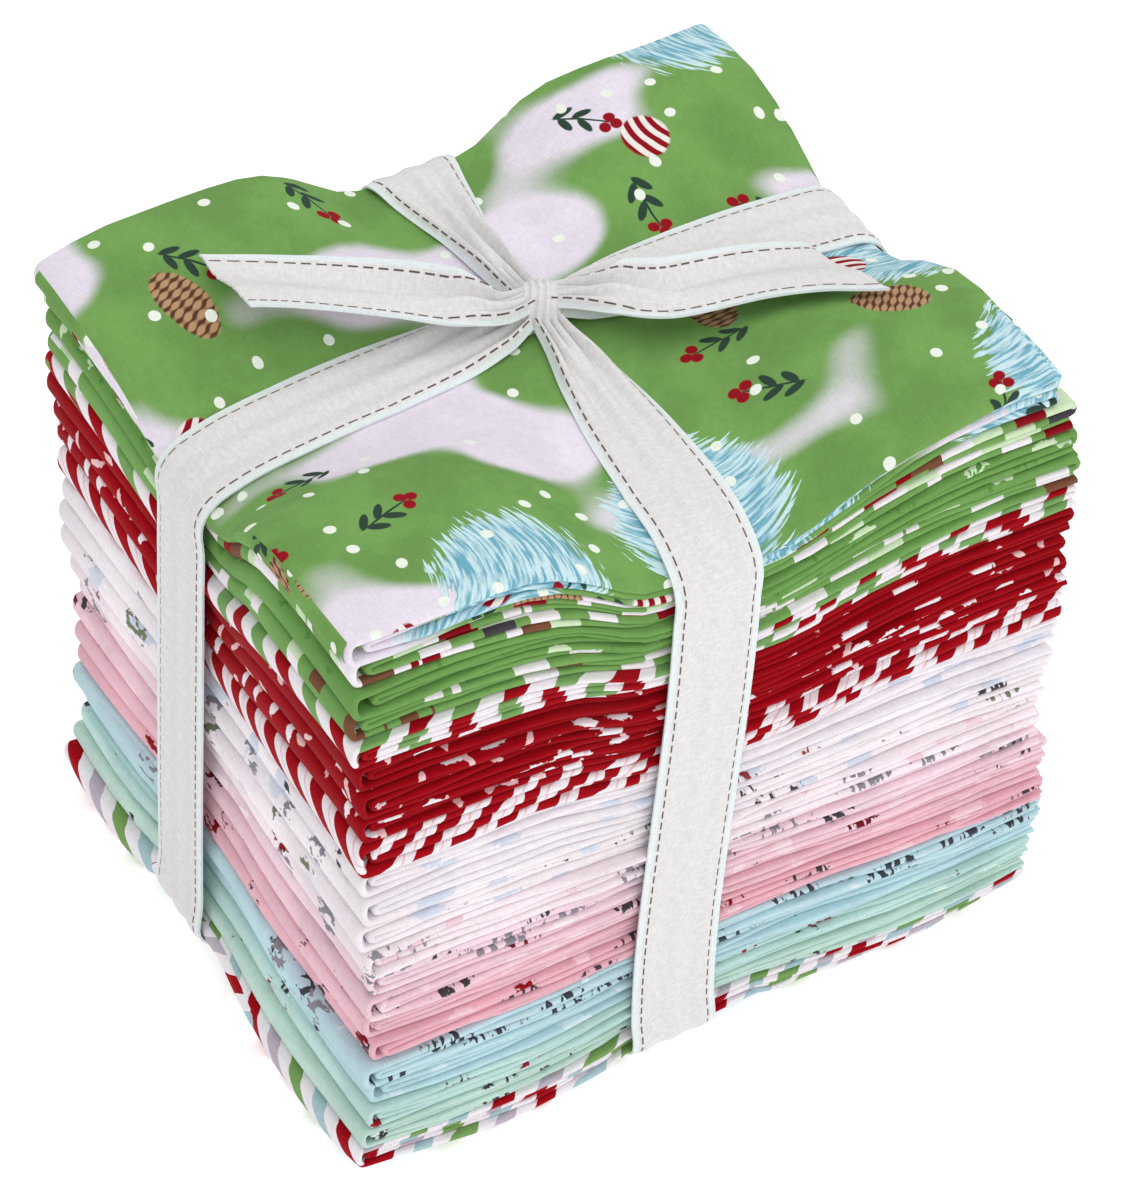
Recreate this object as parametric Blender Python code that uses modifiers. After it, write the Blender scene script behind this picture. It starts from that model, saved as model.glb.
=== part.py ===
"""A bundle of folded fat quarters, tied both ways with one ribbon.

Twenty-two cotton fat quarters lie in a stack. Each is folded into a packet of sixteen layers: first
lengthways into a strip of four layers, then crossways, so that the strip runs back and forth four
times. One ribbon runs round the stack both ways, is knotted on top and leaves two free tails.
Frame: origin at the middle of the bottom, X along the long side, Y to the back, +Z up, in metres.
"""

import math
from collections import namedtuple

import bmesh
import bpy
from mathutils import Matrix, Vector

MM = 0.001

# The untied stack.
LENGTH = 142 * MM
DEPTH = 116 * MM
ROW_GAP = 0.6 * MM
RUN_GAP = 0.3 * MM
RAW_END_STEP = 1.2 * MM
INNER_FOLD_SET_BACK = 0.4 * MM

# What the ribbon does to the stack when it is pulled tight. It sinks into two lanes that cross, and
# the quarters between them stand up, highest at the front left. In the middle of its height the
# stack is fuller on the left, where the folds are.
RIBBON_X = 1.5 * MM
RIBBON_Y = 8 * MM
LANE_HALF = 10 * MM
LANE_FLOOR = 8 * MM
REACH_LEFT = 18 * MM
REACH_RIGHT = 23 * MM
REACH_FRONT = 16 * MM
REACH_BACK = 16 * MM
LANE_SINK = 10 * MM
LANE_END_DROP = 4 * MM
QUARTER_RISE = 1.2 * MM
LEAN_X = -2.5 * MM
LEAN_Y = -1.6 * MM
MIDDLE_LEAN = -4 * MM
CORNER_CURL = 5 * MM
BOTTOM_LIFT = 1.5 * MM
PULL_BOTTOM = 1.5 * MM
PULL_TOP = 4 * MM

# The ribbon.
RIBBON_WIDTH = 17.5 * MM
RIBBON_THICK = 1 * MM
CLEARANCE = 0.4 * MM
RECESS_X = (-14.5 * MM, 11.5 * MM)
RECESS_Y = (-2 * MM, 22 * MM)
RECESS_FADE = 4 * MM
RECESS_FELT_UP_TO = 12 * MM

KNOT_CENTRE = Vector((2.5 * MM, 8.5 * MM, 0))
KNOT_SIZE = Vector((9 * MM, 12 * MM, 7 * MM))
KNOT_SEGMENTS = 16
KNOT_RINGS = 8

# How much of the edges' dip and pull is felt at places across the stack, in millimetres.
Share = namedtuple("Share", "place share")
SHARE_X = (
    Share(-71, 1),
    Share(-34, 0.12),
    Share(-8.5, 0),
    Share(11.5, 0),
    Share(44, 0.2),
    Share(71, 1),
)
SHARE_Y = (
    Share(-58, 1),
    Share(-46, 0.4),
    Share(-2, 0),
    Share(18, 0),
    Share(46, 0.4),
    Share(58, 1),
)
CORNER_START = 0.15

# Folds: how many straight steps go round each.
OUTER_FOLD_STEPS = 4
SMALL_FOLD_STEPS = 2

# From the top down. Heights and how far each side stands out past the plain stack, in millimetres.
FatQuarter = namedtuple("FatQuarter", "name height left right front back colour")
FAT_QUARTERS = (
    FatQuarter("fat_quarter_01_green_winter", 6.8, 1.0, -2.0, 0.3, -0.4, (121, 174, 95)),
    FatQuarter("fat_quarter_02_green_blocks", 6.6, -0.6, 1.0, -0.3, -1.2, (116, 160, 92)),
    FatQuarter("fat_quarter_03_green_tonal", 6.6, -0.6, 2.5, 0.3, -1.0, (112, 170, 88)),
    FatQuarter("fat_quarter_04_green_dashes", 6.4, -0.6, 3.2, -0.5, -0.8, (118, 176, 92)),
    FatQuarter("fat_quarter_05_holly_stripe", 5.4, 0.4, 3.0, 0.4, -1.0, (225, 228, 218)),
    FatQuarter("fat_quarter_06_red_pills", 5.8, -0.5, 2.5, -0.3, -0.5, (160, 8, 26)),
    FatQuarter("fat_quarter_07_red_arcs", 5.8, -0.6, 1.6, 0.4, -1.3, (164, 8, 26)),
    FatQuarter("fat_quarter_08_red_dots", 5.8, -0.8, 2.5, -0.2, -0.8, (168, 6, 25)),
    FatQuarter("fat_quarter_09_candy_stripe", 7.4, -0.2, 2.0, 0.3, -1.6, (228, 200, 205)),
    FatQuarter("fat_quarter_10_white_script", 6.4, -0.8, 1.8, -0.4, -1.4, (228, 226, 232)),
    FatQuarter("fat_quarter_11_white_marks", 6.4, -0.5, 0.6, 0.2, -1.0, (232, 226, 234)),
    FatQuarter("fat_quarter_12_white_sprig", 6.4, 0.0, 0.2, -0.2, -1.2, (233, 224, 232)),
    FatQuarter("fat_quarter_13_white_rose", 6.4, -1.0, -0.6, 0.5, -2.0, (235, 222, 230)),
    FatQuarter("fat_quarter_14_pink_pale", 5.4, -1.4, -0.3, -0.3, -2.0, (232, 200, 210)),
    FatQuarter("fat_quarter_15_pink_marks", 5.4, -0.8, 0.7, 0.4, -1.3, (226, 182, 192)),
    FatQuarter("fat_quarter_16_pink_dusty", 5.4, -0.8, 1.0, -0.4, -1.8, (226, 174, 182)),
    FatQuarter("fat_quarter_17_pink_salmon", 5.2, -0.6, 1.2, 0.2, -1.6, (224, 152, 158)),
    FatQuarter("fat_quarter_18_aqua_marks", 7.0, 0.3, 1.0, 0.4, -1.4, (176, 208, 214)),
    FatQuarter("fat_quarter_19_aqua_plain", 7.0, -1.0, 0.4, -0.3, -2.0, (166, 206, 208)),
    FatQuarter("fat_quarter_20_mint_figures", 5.8, -0.2, -0.5, 0.3, -1.1, (174, 210, 192)),
    FatQuarter("fat_quarter_21_mint_plain", 5.6, 1.2, -1.1, -0.2, -0.4, (180, 206, 194)),
    FatQuarter("fat_quarter_22_block_stripe", 5.4, 2.4, -2.0, 0.4, 0.4, (218, 220, 224)),
)
STACK_HEIGHT = sum(row.height for row in FAT_QUARTERS) * MM

# How a band of ribbon gathers as it comes to the knot, in millimetres from the end of the band.
Gather = namedtuple("Gather", "distance width rise")
FRONT_GATHER = (
    Gather(0, 5, 1.6),
    Gather(6, 7, 0.8),
    Gather(17, 12.5, 0.2),
    Gather(30, 16, 0),
    Gather(44, 17.5, 0),
)
BACK_GATHER = (
    Gather(0, 5, 1.6),
    Gather(10, 7, 0.6),
    Gather(25, 9, 0.2),
    Gather(38, 13, 0),
    Gather(50, 17.5, 0),
)
SIDE_GATHER = (Gather(0, 7, 1.4), Gather(6, 12, 0.4), Gather(16, 16, 0), Gather(30, 17.5, 0))

# How far a band strays sideways on its way round, in millimetres, from its near end at the knot (0)
# round underneath to its far end (1).
Drift = namedtuple("Drift", "part aside")
CROSSWAYS_DRIFT = (Drift(0, 1), Drift(0.14, 0), Drift(0.37, -6.5), Drift(0.62, -3), Drift(1, 1))
LENGTHWAYS_DRIFT = (Drift(0, 0), Drift(0.13, 0.5), Drift(0.36, 4), Drift(0.63, 1), Drift(1, 0))

# The middle line of each free tail from the knot out, its height over the ground, its width, and how
# far its back edge is turned down, in millimetres and degrees. The last row is the cut end.
TailRow = namedtuple("TailRow", "x y z width turn")
LEFT_TAIL = (
    TailRow(-3.2, 7.2, 129.6, 5, 0),
    TailRow(-10.5, 10.0, 129.4, 11, 4),
    TailRow(-20.0, 17.0, 131.0, 14.5, 6),
    TailRow(-31.0, 23.5, 133.4, 16.5, 6),
    TailRow(-40.0, 28.0, 135.2, 17, 4),
    TailRow(-47.0, 31.0, 136.6, 17, 2),
)
RIGHT_TAIL = (
    TailRow(8.0, 3.4, 129.6, 5, 0),
    TailRow(13.5, -1.0, 128.8, 10, 0),
    TailRow(23.0, -3.4, 128.4, 14.5, 0),
    TailRow(36.0, -5.6, 129.0, 16.5, 0),
    TailRow(46.0, -10.0, 131.0, 17, 0),
    TailRow(51.5, -14.0, 132.4, 17, 0),
)
LEFT_TAIL_CUT = -3.5 * MM
RIGHT_TAIL_CUT = 8 * MM


def clear_scene():
    for item in list(bpy.data.objects):
        bpy.data.objects.remove(item, do_unlink=True)


def new_collection(name):
    collection = bpy.data.collections.new(name)
    bpy.context.scene.collection.children.link(collection)
    return collection


def linear(channel):
    """A screen value of 0 to 255 as linear light."""
    value = channel / 255
    return value / 12.92 if value <= 0.04045 else ((value + 0.055) / 1.055) ** 2.4


def cloth_material(name, colour, roughness=0.9):
    material = bpy.data.materials.new(name)
    material.use_nodes = True
    shader = material.node_tree.nodes["Principled BSDF"]
    shader.inputs["Base Color"].default_value = (*(linear(channel) for channel in colour), 1)
    shader.inputs["Roughness"].default_value = roughness
    shader.inputs["Metallic"].default_value = 0
    return material


def near_ribbon(distance, reach_before, reach_after):
    """1 along the ribbon's lane, fading out on both sides."""
    reach = reach_before if distance < 0 else reach_after
    return math.exp(-((max(0, abs(distance) - LANE_FLOOR) / reach) ** 2))


def edge_share(place, table):
    """How much of the edge's movement is felt here; past the last row it goes on growing."""
    index = 0
    while index < len(table) - 2 and place > table[index + 1].place * MM:
        index += 1
    before, after = table[index], table[index + 1]
    part = (place / MM - before.place) / (after.place - before.place)
    return before.share + part * (after.share - before.share)


def recess(place, lane, depth):
    """How far the ribbon is pressed into the underside here, over the lane it runs in."""
    outside = max(lane[0] - place, place - lane[1]) / RECESS_FADE
    return depth * min(1, max(0, 1 - outside))


def pressed(point):
    """Where a point of the plain stack lies once the ribbon is pulled tight round it."""
    x, y, z = point
    height = max(0, z / STACK_HEIGHT)
    out_x = x / (LENGTH / 2)
    out_y = y / (DEPTH / 2)
    share_x = edge_share(x, SHARE_X)
    share_y = edge_share(y, SHARE_Y)
    lane_x = near_ribbon(x - RIBBON_X, REACH_LEFT, REACH_RIGHT)
    lane_y = near_ribbon(y - RIBBON_Y, REACH_FRONT, REACH_BACK)
    quarter = (1 - lane_x) * (1 - lane_y)
    at_ends = lane_x * share_y + lane_y * share_x
    at_corner = max(0, share_x * share_y - CORNER_START) / (1 - CORNER_START)
    rise = quarter * (QUARTER_RISE + LEAN_X * out_x + LEAN_Y * out_y) * height**3
    rise += MIDDLE_LEAN * out_x * (1 - (2 * height - 1) ** 4)
    rise -= (LANE_SINK * (1 - quarter) + LANE_END_DROP * at_ends) * height**1.5
    rise += BOTTOM_LIFT * at_ends * (1 - height) ** 6 + CORNER_CURL * at_corner * (1 - height) ** 9
    dent = max(
        recess(x, RECESS_X, RIBBON_THICK + CLEARANCE),
        recess(y, RECESS_Y, 2 * (RIBBON_THICK + CLEARANCE)),
    )
    rise += dent * max(0, 1 - z / RECESS_FELT_UP_TO)
    pull = PULL_BOTTOM + (PULL_TOP - PULL_BOTTOM) * height
    x -= math.copysign(share_x, x) * pull * lane_y
    y -= math.copysign(share_y, y) * pull * lane_x
    return Vector((x, y, z + rise))


def arc(centre_x, centre_z, radius, start, turn, steps):
    """Points of an arc in the XZ section, its ends included."""
    angles = (start + turn * step / steps for step in range(steps + 1))
    return [(centre_x + radius * math.cos(a), centre_z + radius * math.sin(a)) for a in angles]


def section_of(row, base, places):
    """The middle line of the folded strip, from its raw end underneath to its raw end inside."""
    thick = (row.height * MM - ROW_GAP - 3 * RUN_GAP) / 4
    pitch = thick + RUN_GAP
    levels = [base + thick / 2 + run * pitch for run in range(4)]
    middle = (levels[0] + levels[3]) / 2
    left = -LENGTH / 2 - row.left * MM
    right = LENGTH / 2 + row.right * MM
    fold_x = left + 1.5 * pitch + thick / 2
    outer = arc(fold_x, middle, 1.5 * pitch, -math.pi / 2, -math.pi, OUTER_FOLD_STEPS)
    inner_x = fold_x + INNER_FOLD_SET_BACK
    inner = arc(inner_x, middle, pitch / 2, math.pi / 2, math.pi, SMALL_FOLD_STEPS)
    turn_x = right - pitch / 2 - thick / 2
    turn_z = (levels[2] + levels[3]) / 2
    turn = arc(turn_x, turn_z, pitch / 2, math.pi / 2, -math.pi, SMALL_FOLD_STEPS)
    lowest = [(right - RAW_END_STEP / 2, levels[0])] + [(x, levels[0]) for x in reversed(places)]
    top = [(x, levels[3]) for x in places]
    third = [(x, levels[2]) for x in reversed(places)]
    second = [(x, levels[1]) for x in places] + [(right - RAW_END_STEP, levels[1])]
    return lowest + outer + top + turn + third + inner + second, thick


def stations(table, recess_lane):
    """Where a packet is followed: at the table's inner places, and for the lowest packet also where
    the ribbon's recess starts and ends."""
    places = {row.place * MM for row in table[1:-1]}
    if recess_lane:
        places |= {recess_lane[0] - RECESS_FADE, recess_lane[1] + RECESS_FADE, *recess_lane}
    return sorted(places)


def sheet_along_y(name, section, places):
    """The section's line drawn out along Y, one strip of faces from each place to the next."""
    shape = bmesh.new()
    points = [shape.verts.new((x, places[0], z)) for x, z in section]
    edges = [shape.edges.new(pair) for pair in zip(points, points[1:])]
    for before, after in zip(places, places[1:]):
        made = bmesh.ops.extrude_edge_only(shape, edges=edges)["geom"]
        fresh = [item for item in made if isinstance(item, bmesh.types.BMVert)]
        bmesh.ops.translate(shape, verts=fresh, vec=(0, after - before, 0))
        edges = [item for item in made if isinstance(item, bmesh.types.BMEdge)]
    bmesh.ops.recalc_face_normals(shape, faces=shape.faces)
    mesh = bpy.data.meshes.new(name)
    shape.to_mesh(mesh)
    shape.free()
    return mesh


def thicken(mesh, thick):
    """A new mesh: the sheet given its thickness on both sides."""
    helper = bpy.data.objects.new("thickening", mesh)
    bpy.context.scene.collection.objects.link(helper)
    shell = helper.modifiers.new("Thickness", "SOLIDIFY")
    shell.thickness = thick
    shell.offset = 0
    shell.use_even_offset = True
    solid = bpy.data.meshes.new_from_object(helper.evaluated_get(bpy.context.evaluated_depsgraph_get()))
    bpy.data.objects.remove(helper, do_unlink=True)
    return solid


def split_alike(mesh):
    """Cuts every four-sided face into two along the same direction, so that two neighbouring layers
    stay parallel when they are bent, and turns all faces outwards."""
    shape = bmesh.new()
    shape.from_mesh(mesh)
    for face in [face for face in shape.faces if len(face.verts) == 4]:
        corners = list(face.verts)
        pairs = ((corners[0], corners[2]), (corners[1], corners[3]))
        bmesh.utils.face_split(face, *max(pairs, key=lambda pair: abs(diagonal_run(*pair))))
    bmesh.ops.recalc_face_normals(shape, faces=shape.faces)
    shape.to_mesh(mesh)
    shape.free()


def diagonal_run(first, second):
    run = second.co - first.co
    return run.x + run.y


def add_piece(collection, name, mesh, material):
    mesh.name = name
    mesh.materials.clear()
    mesh.materials.append(material)
    piece = bpy.data.objects.new(name, mesh)
    collection.objects.link(piece)
    return piece


def fat_quarter(collection, row, base, is_lowest):
    section, thick = section_of(row, base, stations(SHARE_X, RECESS_X if is_lowest else None))
    front = -DEPTH / 2 - row.front * MM
    back = DEPTH / 2 + row.back * MM
    places = [front] + stations(SHARE_Y, RECESS_Y if is_lowest else None) + [back]
    mesh = thicken(sheet_along_y(row.name, section, places), thick)
    split_alike(mesh)
    for vertex in mesh.vertices:
        vertex.co = pressed(vertex.co)
    return add_piece(collection, row.name, mesh, cloth_material(row.name, row.colour))


def row_bases():
    """The height of each fat quarter's underside in the plain stack, from the top down."""
    bases = []
    level = STACK_HEIGHT
    for row in FAT_QUARTERS:
        level -= row.height * MM
        bases.append(level)
    return bases


def stack_outline(along_y):
    """The stack's section under one band, as points across and up: the tips of all the packets, the
    top and the underside, taken at both edges of the band's lane."""
    reach = DEPTH / 2 if along_y else LENGTH / 2
    across = (RIBBON_X, RECESS_X) if along_y else (RIBBON_Y, RECESS_Y)
    middle = stations(SHARE_Y, RECESS_Y) if along_y else stations(SHARE_X, RECESS_X)
    outline = []
    for side in (min(across[0] - LANE_HALF, across[1][0]), max(across[0] + LANE_HALF, across[1][1])):
        for row, base in zip(FAT_QUARTERS, row_bases()):
            ends = (row.front, row.back) if along_y else (row.left, row.right)
            for level in (base, base + row.height * MM - ROW_GAP):
                outline.append(lane_point(along_y, side, -reach - ends[0] * MM, level))
                outline.append(lane_point(along_y, side, reach + ends[1] * MM, level))
        outline += [lane_point(along_y, side, place, 0) for place in middle]
    for side in (across[0] - LANE_HALF, across[0] + LANE_HALF):
        highest = STACK_HEIGHT - ROW_GAP
        outline += [lane_point(along_y, side, place, highest) for place in middle]
    return outline


def lane_point(along_y, side, place, level):
    """A point of the pressed stack at one side of a lane, as (across, up)."""
    if along_y:
        point = pressed((side, place, level))
        return (point.y, point.z)
    point = pressed((place, side, level))
    return (point.x, point.z)


def hull(points):
    """The outline of a taut band round the points, anticlockwise from the lowest left one."""
    ordered = sorted(set((round(a, 7), round(b, 7)) for a, b in points))
    halves = []
    for run in (ordered, ordered[::-1]):
        chain = []
        for point in run:
            while len(chain) > 1 and not turns_left(chain[-2], chain[-1], point):
                chain.pop()
            chain.append(point)
        halves.append(chain[:-1])
    return halves[0] + halves[1]


def turns_left(first, second, third):
    return (second[0] - first[0]) * (third[1] - first[1]) > (second[1] - first[1]) * (third[0] - first[0])


def grown(outline, distance):
    """A closed outline moved outwards by a distance, its corners mitred."""
    moved = []
    count = len(outline)
    for index, point in enumerate(outline):
        here = Vector(point)
        before = (here - Vector(outline[index - 1])).normalized()
        after = (Vector(outline[(index + 1) % count]) - here).normalized()
        sides = (Vector((before.y, -before.x)) + Vector((after.y, -after.x))).normalized()
        moved.append(here + sides * distance / sides.dot(Vector((before.y, -before.x))))
    return moved


def simplified(outline, shortest):
    """The outline without the points that follow another within this distance."""
    kept = [outline[0]]
    for point in outline[1:]:
        if (point - kept[-1]).length > shortest:
            kept.append(point)
    return kept


def loft_strip(name, rows, thick):
    """A closed strip through rows of (left edge, right edge, outward direction)."""
    shape = bmesh.new()
    rings = []
    for left, right, outward in rows:
        half = outward * thick / 2
        corners = (left - half, right - half, right + half, left + half)
        rings.append([shape.verts.new(corner) for corner in corners])
    for ring, following in zip(rings, rings[1:]):
        for index in range(4):
            after = (index + 1) % 4
            shape.faces.new((ring[index], ring[after], following[after], following[index]))
    shape.faces.new(rings[0])
    shape.faces.new(rings[-1][::-1])
    bmesh.ops.recalc_face_normals(shape, faces=shape.faces)
    mesh = bpy.data.meshes.new(name)
    shape.to_mesh(mesh)
    shape.free()
    return mesh


def band_route(along_y):
    """The taut route of a band round the stack, as points across and up, from the near side of the
    knot down, round underneath and back to its far side."""
    outline = grown(hull(stack_outline(along_y)), CLEARANCE + RIBBON_THICK / 2)
    outline = simplified(outline, 1.5 * MM)
    knot_at = KNOT_CENTRE.y if along_y else KNOT_CENTRE.x
    half_knot = (KNOT_SIZE.y if along_y else KNOT_SIZE.x) / 2 + CLEARANCE
    top = knot_base() + RIBBON_THICK / 2
    halfway_up = STACK_HEIGHT / 2
    ring = [
        point
        for point in outline
        if point.y < halfway_up or abs(point.x - knot_at) > half_knot + 2 * MM
    ]
    near = [point for point in ring if point.y > halfway_up and point.x < knot_at]
    first = ring.index(max(near, key=lambda point: point.x))
    ring = ring[first:] + ring[:first]
    return [Vector((knot_at - half_knot, top))] + ring + [Vector((knot_at + half_knot, top))]


def between(table, place, column):
    """A column of a table, in line between the rows on either side of a place in its first column."""
    for before, after in zip(table, table[1:]):
        if place <= after[0]:
            part = max(0, place - before[0]) / (after[0] - before[0])
            start, end = getattr(before, column), getattr(after, column)
            return start + part * (end - start)
    return getattr(table[-1], column)


def band(collection, name, along_y, near_gather, far_gather, drift, material):
    """One band of ribbon: a strip along its taut route, gathered at both sides of the knot."""
    route = subdivided(band_route(along_y), 16 * MM)
    lengths = [0]
    for before, after in zip(route, route[1:]):
        lengths.append(lengths[-1] + (after - before).length)
    rows = []
    for index, point in enumerate(route):
        before = route[max(0, index - 1)]
        after = route[min(len(route) - 1, index + 1)]
        along = (after - before).normalized()
        outward = Vector((along.y, -along.x))
        from_near = lengths[index] / MM
        from_far = (lengths[-1] - lengths[index]) / MM
        widths = between(near_gather, from_near, "width"), between(far_gather, from_far, "width")
        rises = between(near_gather, from_near, "rise"), between(far_gather, from_far, "rise")
        place = point + outward * max(rises) * MM
        aside = between(drift, lengths[index] / lengths[-1], "aside") * MM
        rows.append(band_row(along_y, place, outward, aside, min(widths) * MM / 2))
    return add_piece(collection, name, loft_strip(name, rows, RIBBON_THICK), material)


def band_row(along_y, place, outward, aside, half):
    if along_y:
        left = Vector((RIBBON_X + aside - half, place.x, place.y))
        right = Vector((RIBBON_X + aside + half, place.x, place.y))
        return left, right, Vector((0, outward.x, outward.y))
    left = Vector((place.x, RIBBON_Y + aside - half, place.y))
    right = Vector((place.x, RIBBON_Y + aside + half, place.y))
    return left, right, Vector((outward.x, 0, outward.y))


def subdivided(route, longest):
    """The route with points added on its long stretches."""
    dense = [route[0]]
    for before, after in zip(route, route[1:]):
        pieces = max(1, math.ceil((after - before).length / longest))
        dense += [before.lerp(after, piece / pieces) for piece in range(1, pieces + 1)]
    return dense


def knot_base():
    """The height at which the knot lies: just over the cloth where the lanes cross."""
    return pressed((KNOT_CENTRE.x, KNOT_CENTRE.y, STACK_HEIGHT - ROW_GAP)).z + CLEARANCE


def tail(collection, name, table, cut, material):
    """A free end of the ribbon, lying over the cloth, with a slanting cut."""
    centres = [Vector((row.x, row.y, row.z)) * MM for row in table]
    rows = []
    for index, row in enumerate(table):
        before = centres[max(0, index - 1)]
        after = centres[min(len(centres) - 1, index + 1)]
        along = (after - before).normalized()
        across = along.cross(Vector((0, 0, 1))).normalized()
        if across.y < 0:
            across.negate()
        outward = across.cross(along).normalized()
        if outward.z < 0:
            outward.negate()
        turn = math.radians(row.turn)
        turned = across * math.cos(turn) - outward * math.sin(turn)
        outward = outward * math.cos(turn) + across * math.sin(turn)
        slant = along * cut if index == len(table) - 1 else Vector((0, 0, 0))
        half = turned * row.width * MM / 2
        rows.append((centres[index] - half + slant, centres[index] + half - slant, outward))
    return add_piece(collection, name, loft_strip(name, rows, RIBBON_THICK), material)


def knot(collection, material):
    """The small tight wrap where the ribbon is tied."""
    shape = bmesh.new()
    bmesh.ops.create_uvsphere(shape, u_segments=KNOT_SEGMENTS, v_segments=KNOT_RINGS, radius=0.5)
    bmesh.ops.scale(shape, verts=shape.verts, vec=KNOT_SIZE)
    lift = Vector((0, 0, knot_base() + KNOT_SIZE.z / 2))
    bmesh.ops.translate(shape, verts=shape.verts, vec=KNOT_CENTRE + lift)
    mesh = bpy.data.meshes.new("ribbon_knot")
    shape.to_mesh(mesh)
    shape.free()
    return add_piece(collection, "ribbon_knot", mesh, material)


def centre_on_origin(pieces):
    """Moves the meshes together so that the middle of their bottom is the origin."""
    points = [vertex.co for piece in pieces for vertex in piece.data.vertices]
    low = Vector(min(point[axis] for point in points) for axis in range(3))
    high = Vector(max(point[axis] for point in points) for axis in range(3))
    shift = Matrix.Translation((-(low.x + high.x) / 2, -(low.y + high.y) / 2, -low.z))
    for piece in pieces:
        piece.data.transform(shift)


def main():
    clear_scene()
    bundle = new_collection("fat_quarter_bundle")
    for row, base in zip(FAT_QUARTERS, row_bases()):
        fat_quarter(bundle, row, base, row is FAT_QUARTERS[-1])
    ribbon = cloth_material("ribbon_cotton", (235, 228, 225), 0.85)
    band(bundle, "ribbon_crossways", True, FRONT_GATHER, BACK_GATHER, CROSSWAYS_DRIFT, ribbon)
    band(bundle, "ribbon_lengthways", False, SIDE_GATHER, SIDE_GATHER, LENGTHWAYS_DRIFT, ribbon)
    knot(bundle, ribbon)
    tail(bundle, "ribbon_tail_left", LEFT_TAIL, LEFT_TAIL_CUT, ribbon)
    tail(bundle, "ribbon_tail_right", RIGHT_TAIL, RIGHT_TAIL_CUT, ribbon)
    centre_on_origin(bundle.objects)


main()
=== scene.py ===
"""Dresses a tied stack of folded fat quarters as cloth, and sets it on a plain floor.

Every fat quarter is one sheet that follows its own folds: four layers made by folding it in half
twice along Y, and then four runs of that strip, folded in half twice along X. The cloth's own flat
places, in metres, are kept in the UV map, so that prints and weave follow the folds.
"""

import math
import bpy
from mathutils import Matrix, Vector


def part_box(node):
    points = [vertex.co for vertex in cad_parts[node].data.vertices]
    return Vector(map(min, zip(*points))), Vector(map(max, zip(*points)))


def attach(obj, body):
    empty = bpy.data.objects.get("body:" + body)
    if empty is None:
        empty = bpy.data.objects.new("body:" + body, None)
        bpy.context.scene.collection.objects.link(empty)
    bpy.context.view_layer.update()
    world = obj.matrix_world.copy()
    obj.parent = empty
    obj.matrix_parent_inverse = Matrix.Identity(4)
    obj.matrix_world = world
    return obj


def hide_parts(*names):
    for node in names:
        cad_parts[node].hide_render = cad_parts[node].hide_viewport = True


bl_info = {
    "name": "Fat quarter bundle",
    "version": (1, 0, 0),
    "blender": (4, 5, 0),
    "location": "View3D > Sidebar > Bundle",
    "description": "Folds fat quarters, stacks them and ties them with a ribbon",
    "category": "Add Mesh",
}

from collections import namedtuple

import bpy
import numpy as np
from bpy.props import FloatProperty, FloatVectorProperty, PointerProperty
from mathutils import Matrix, Vector, noise

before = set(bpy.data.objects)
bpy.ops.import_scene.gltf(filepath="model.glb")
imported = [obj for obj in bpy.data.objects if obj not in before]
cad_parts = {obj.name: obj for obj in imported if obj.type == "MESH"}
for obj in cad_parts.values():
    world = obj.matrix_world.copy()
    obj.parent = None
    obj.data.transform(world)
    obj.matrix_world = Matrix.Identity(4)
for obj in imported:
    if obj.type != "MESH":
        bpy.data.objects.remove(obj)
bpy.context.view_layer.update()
MM = 0.001

# The stack as it was tied, in millimetres. The ribbon's lanes run at RIBBON_X and RIBBON_Y, and the
# cloth rises beside them within a reach.
LENGTH = 142
DEPTH = 116
RIBBON_X = 1.5
RIBBON_Y = 8
LANE_HALF = 10
LANE_FLOOR = 9.5
REACH_LEFT = 17
REACH_RIGHT = 22
REACH_LEFT_AT_BACK = 12
REACH_RIGHT_AT_BACK = 13.5
REACH_Y = 15
LANE_SINK = 10
LANE_END_DROP = 4
QUARTER_RISE = 1.2
LEAN_X = -2.5
LEAN_Y = -1.6
MIDDLE_LEAN = -4
CORNER_START = 0.15
CORNER_CURL = 5
BOTTOM_LIFT = 1.5
PULL_BOTTOM = 1.5
PULL_TOP = 4
PULL_AT_RIGHT = 0.2
CORNER_DRAW = 3.6
OUTER_FOLD_DEPTH = 0.55
KNOT_CENTRE = (2.5, 8.5)
KNOT_SIZE = (9, 12, 7)
KNOT_TURN = math.radians(26)
CLEAR_OF_KNOT = 2
CROSSWAYS_INSIDE_KNOT = 0.4
LENGTHWAYS_INSIDE_KNOT = 0.64
BAND_END_RISE = 0.6
BAND_GAP = 0.2
BAND_STEP = 1.5
BAND_NARROWEST = 4
BAND_PLEATS_FADE = 22
BAND_PLEATS = 3
LANE_MARGIN = 0.3
KNOT_ARC = (-12, 192)
KNOT_ROWS = 40
KNOT_COLUMNS = 97
KNOT_NARROW = 1.4
KNOT_LOW = 0.7
WRAP_WIDTH = 7.6
WRAP_WAIST = 0.9
WRAP_CREASES = 5
WRAP_CREASE_DEPTH = 0.32
WRAP_EDGE_FALL = 1.6
WRAP_THINNED = 0.8
TUCK_RADIUS = 0.35
RECESS_X = (-17, 11.5)
RECESS_Y = (-2, 22)
RECESS_FADE = 4
RECESS_FELT_UP_TO = 12
RIBBON_CLEARANCE = 0.4
KNOT_MEASURED_BELOW_TOP = 0.6
EDGE_REACH = 13
EDGE_ROUND = 3.4
EDGE_ROUND_AT_RIGHT = 0.45
EDGE_ROUND_AT_BACK = 0.15
FOLD_DROOP = 4.5
FOLD_DROOP_REACH = 20
BACK_DROP = 1.0
WANDER_REACH = 40
WANDER_REACH_RIGHT = 30

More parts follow.
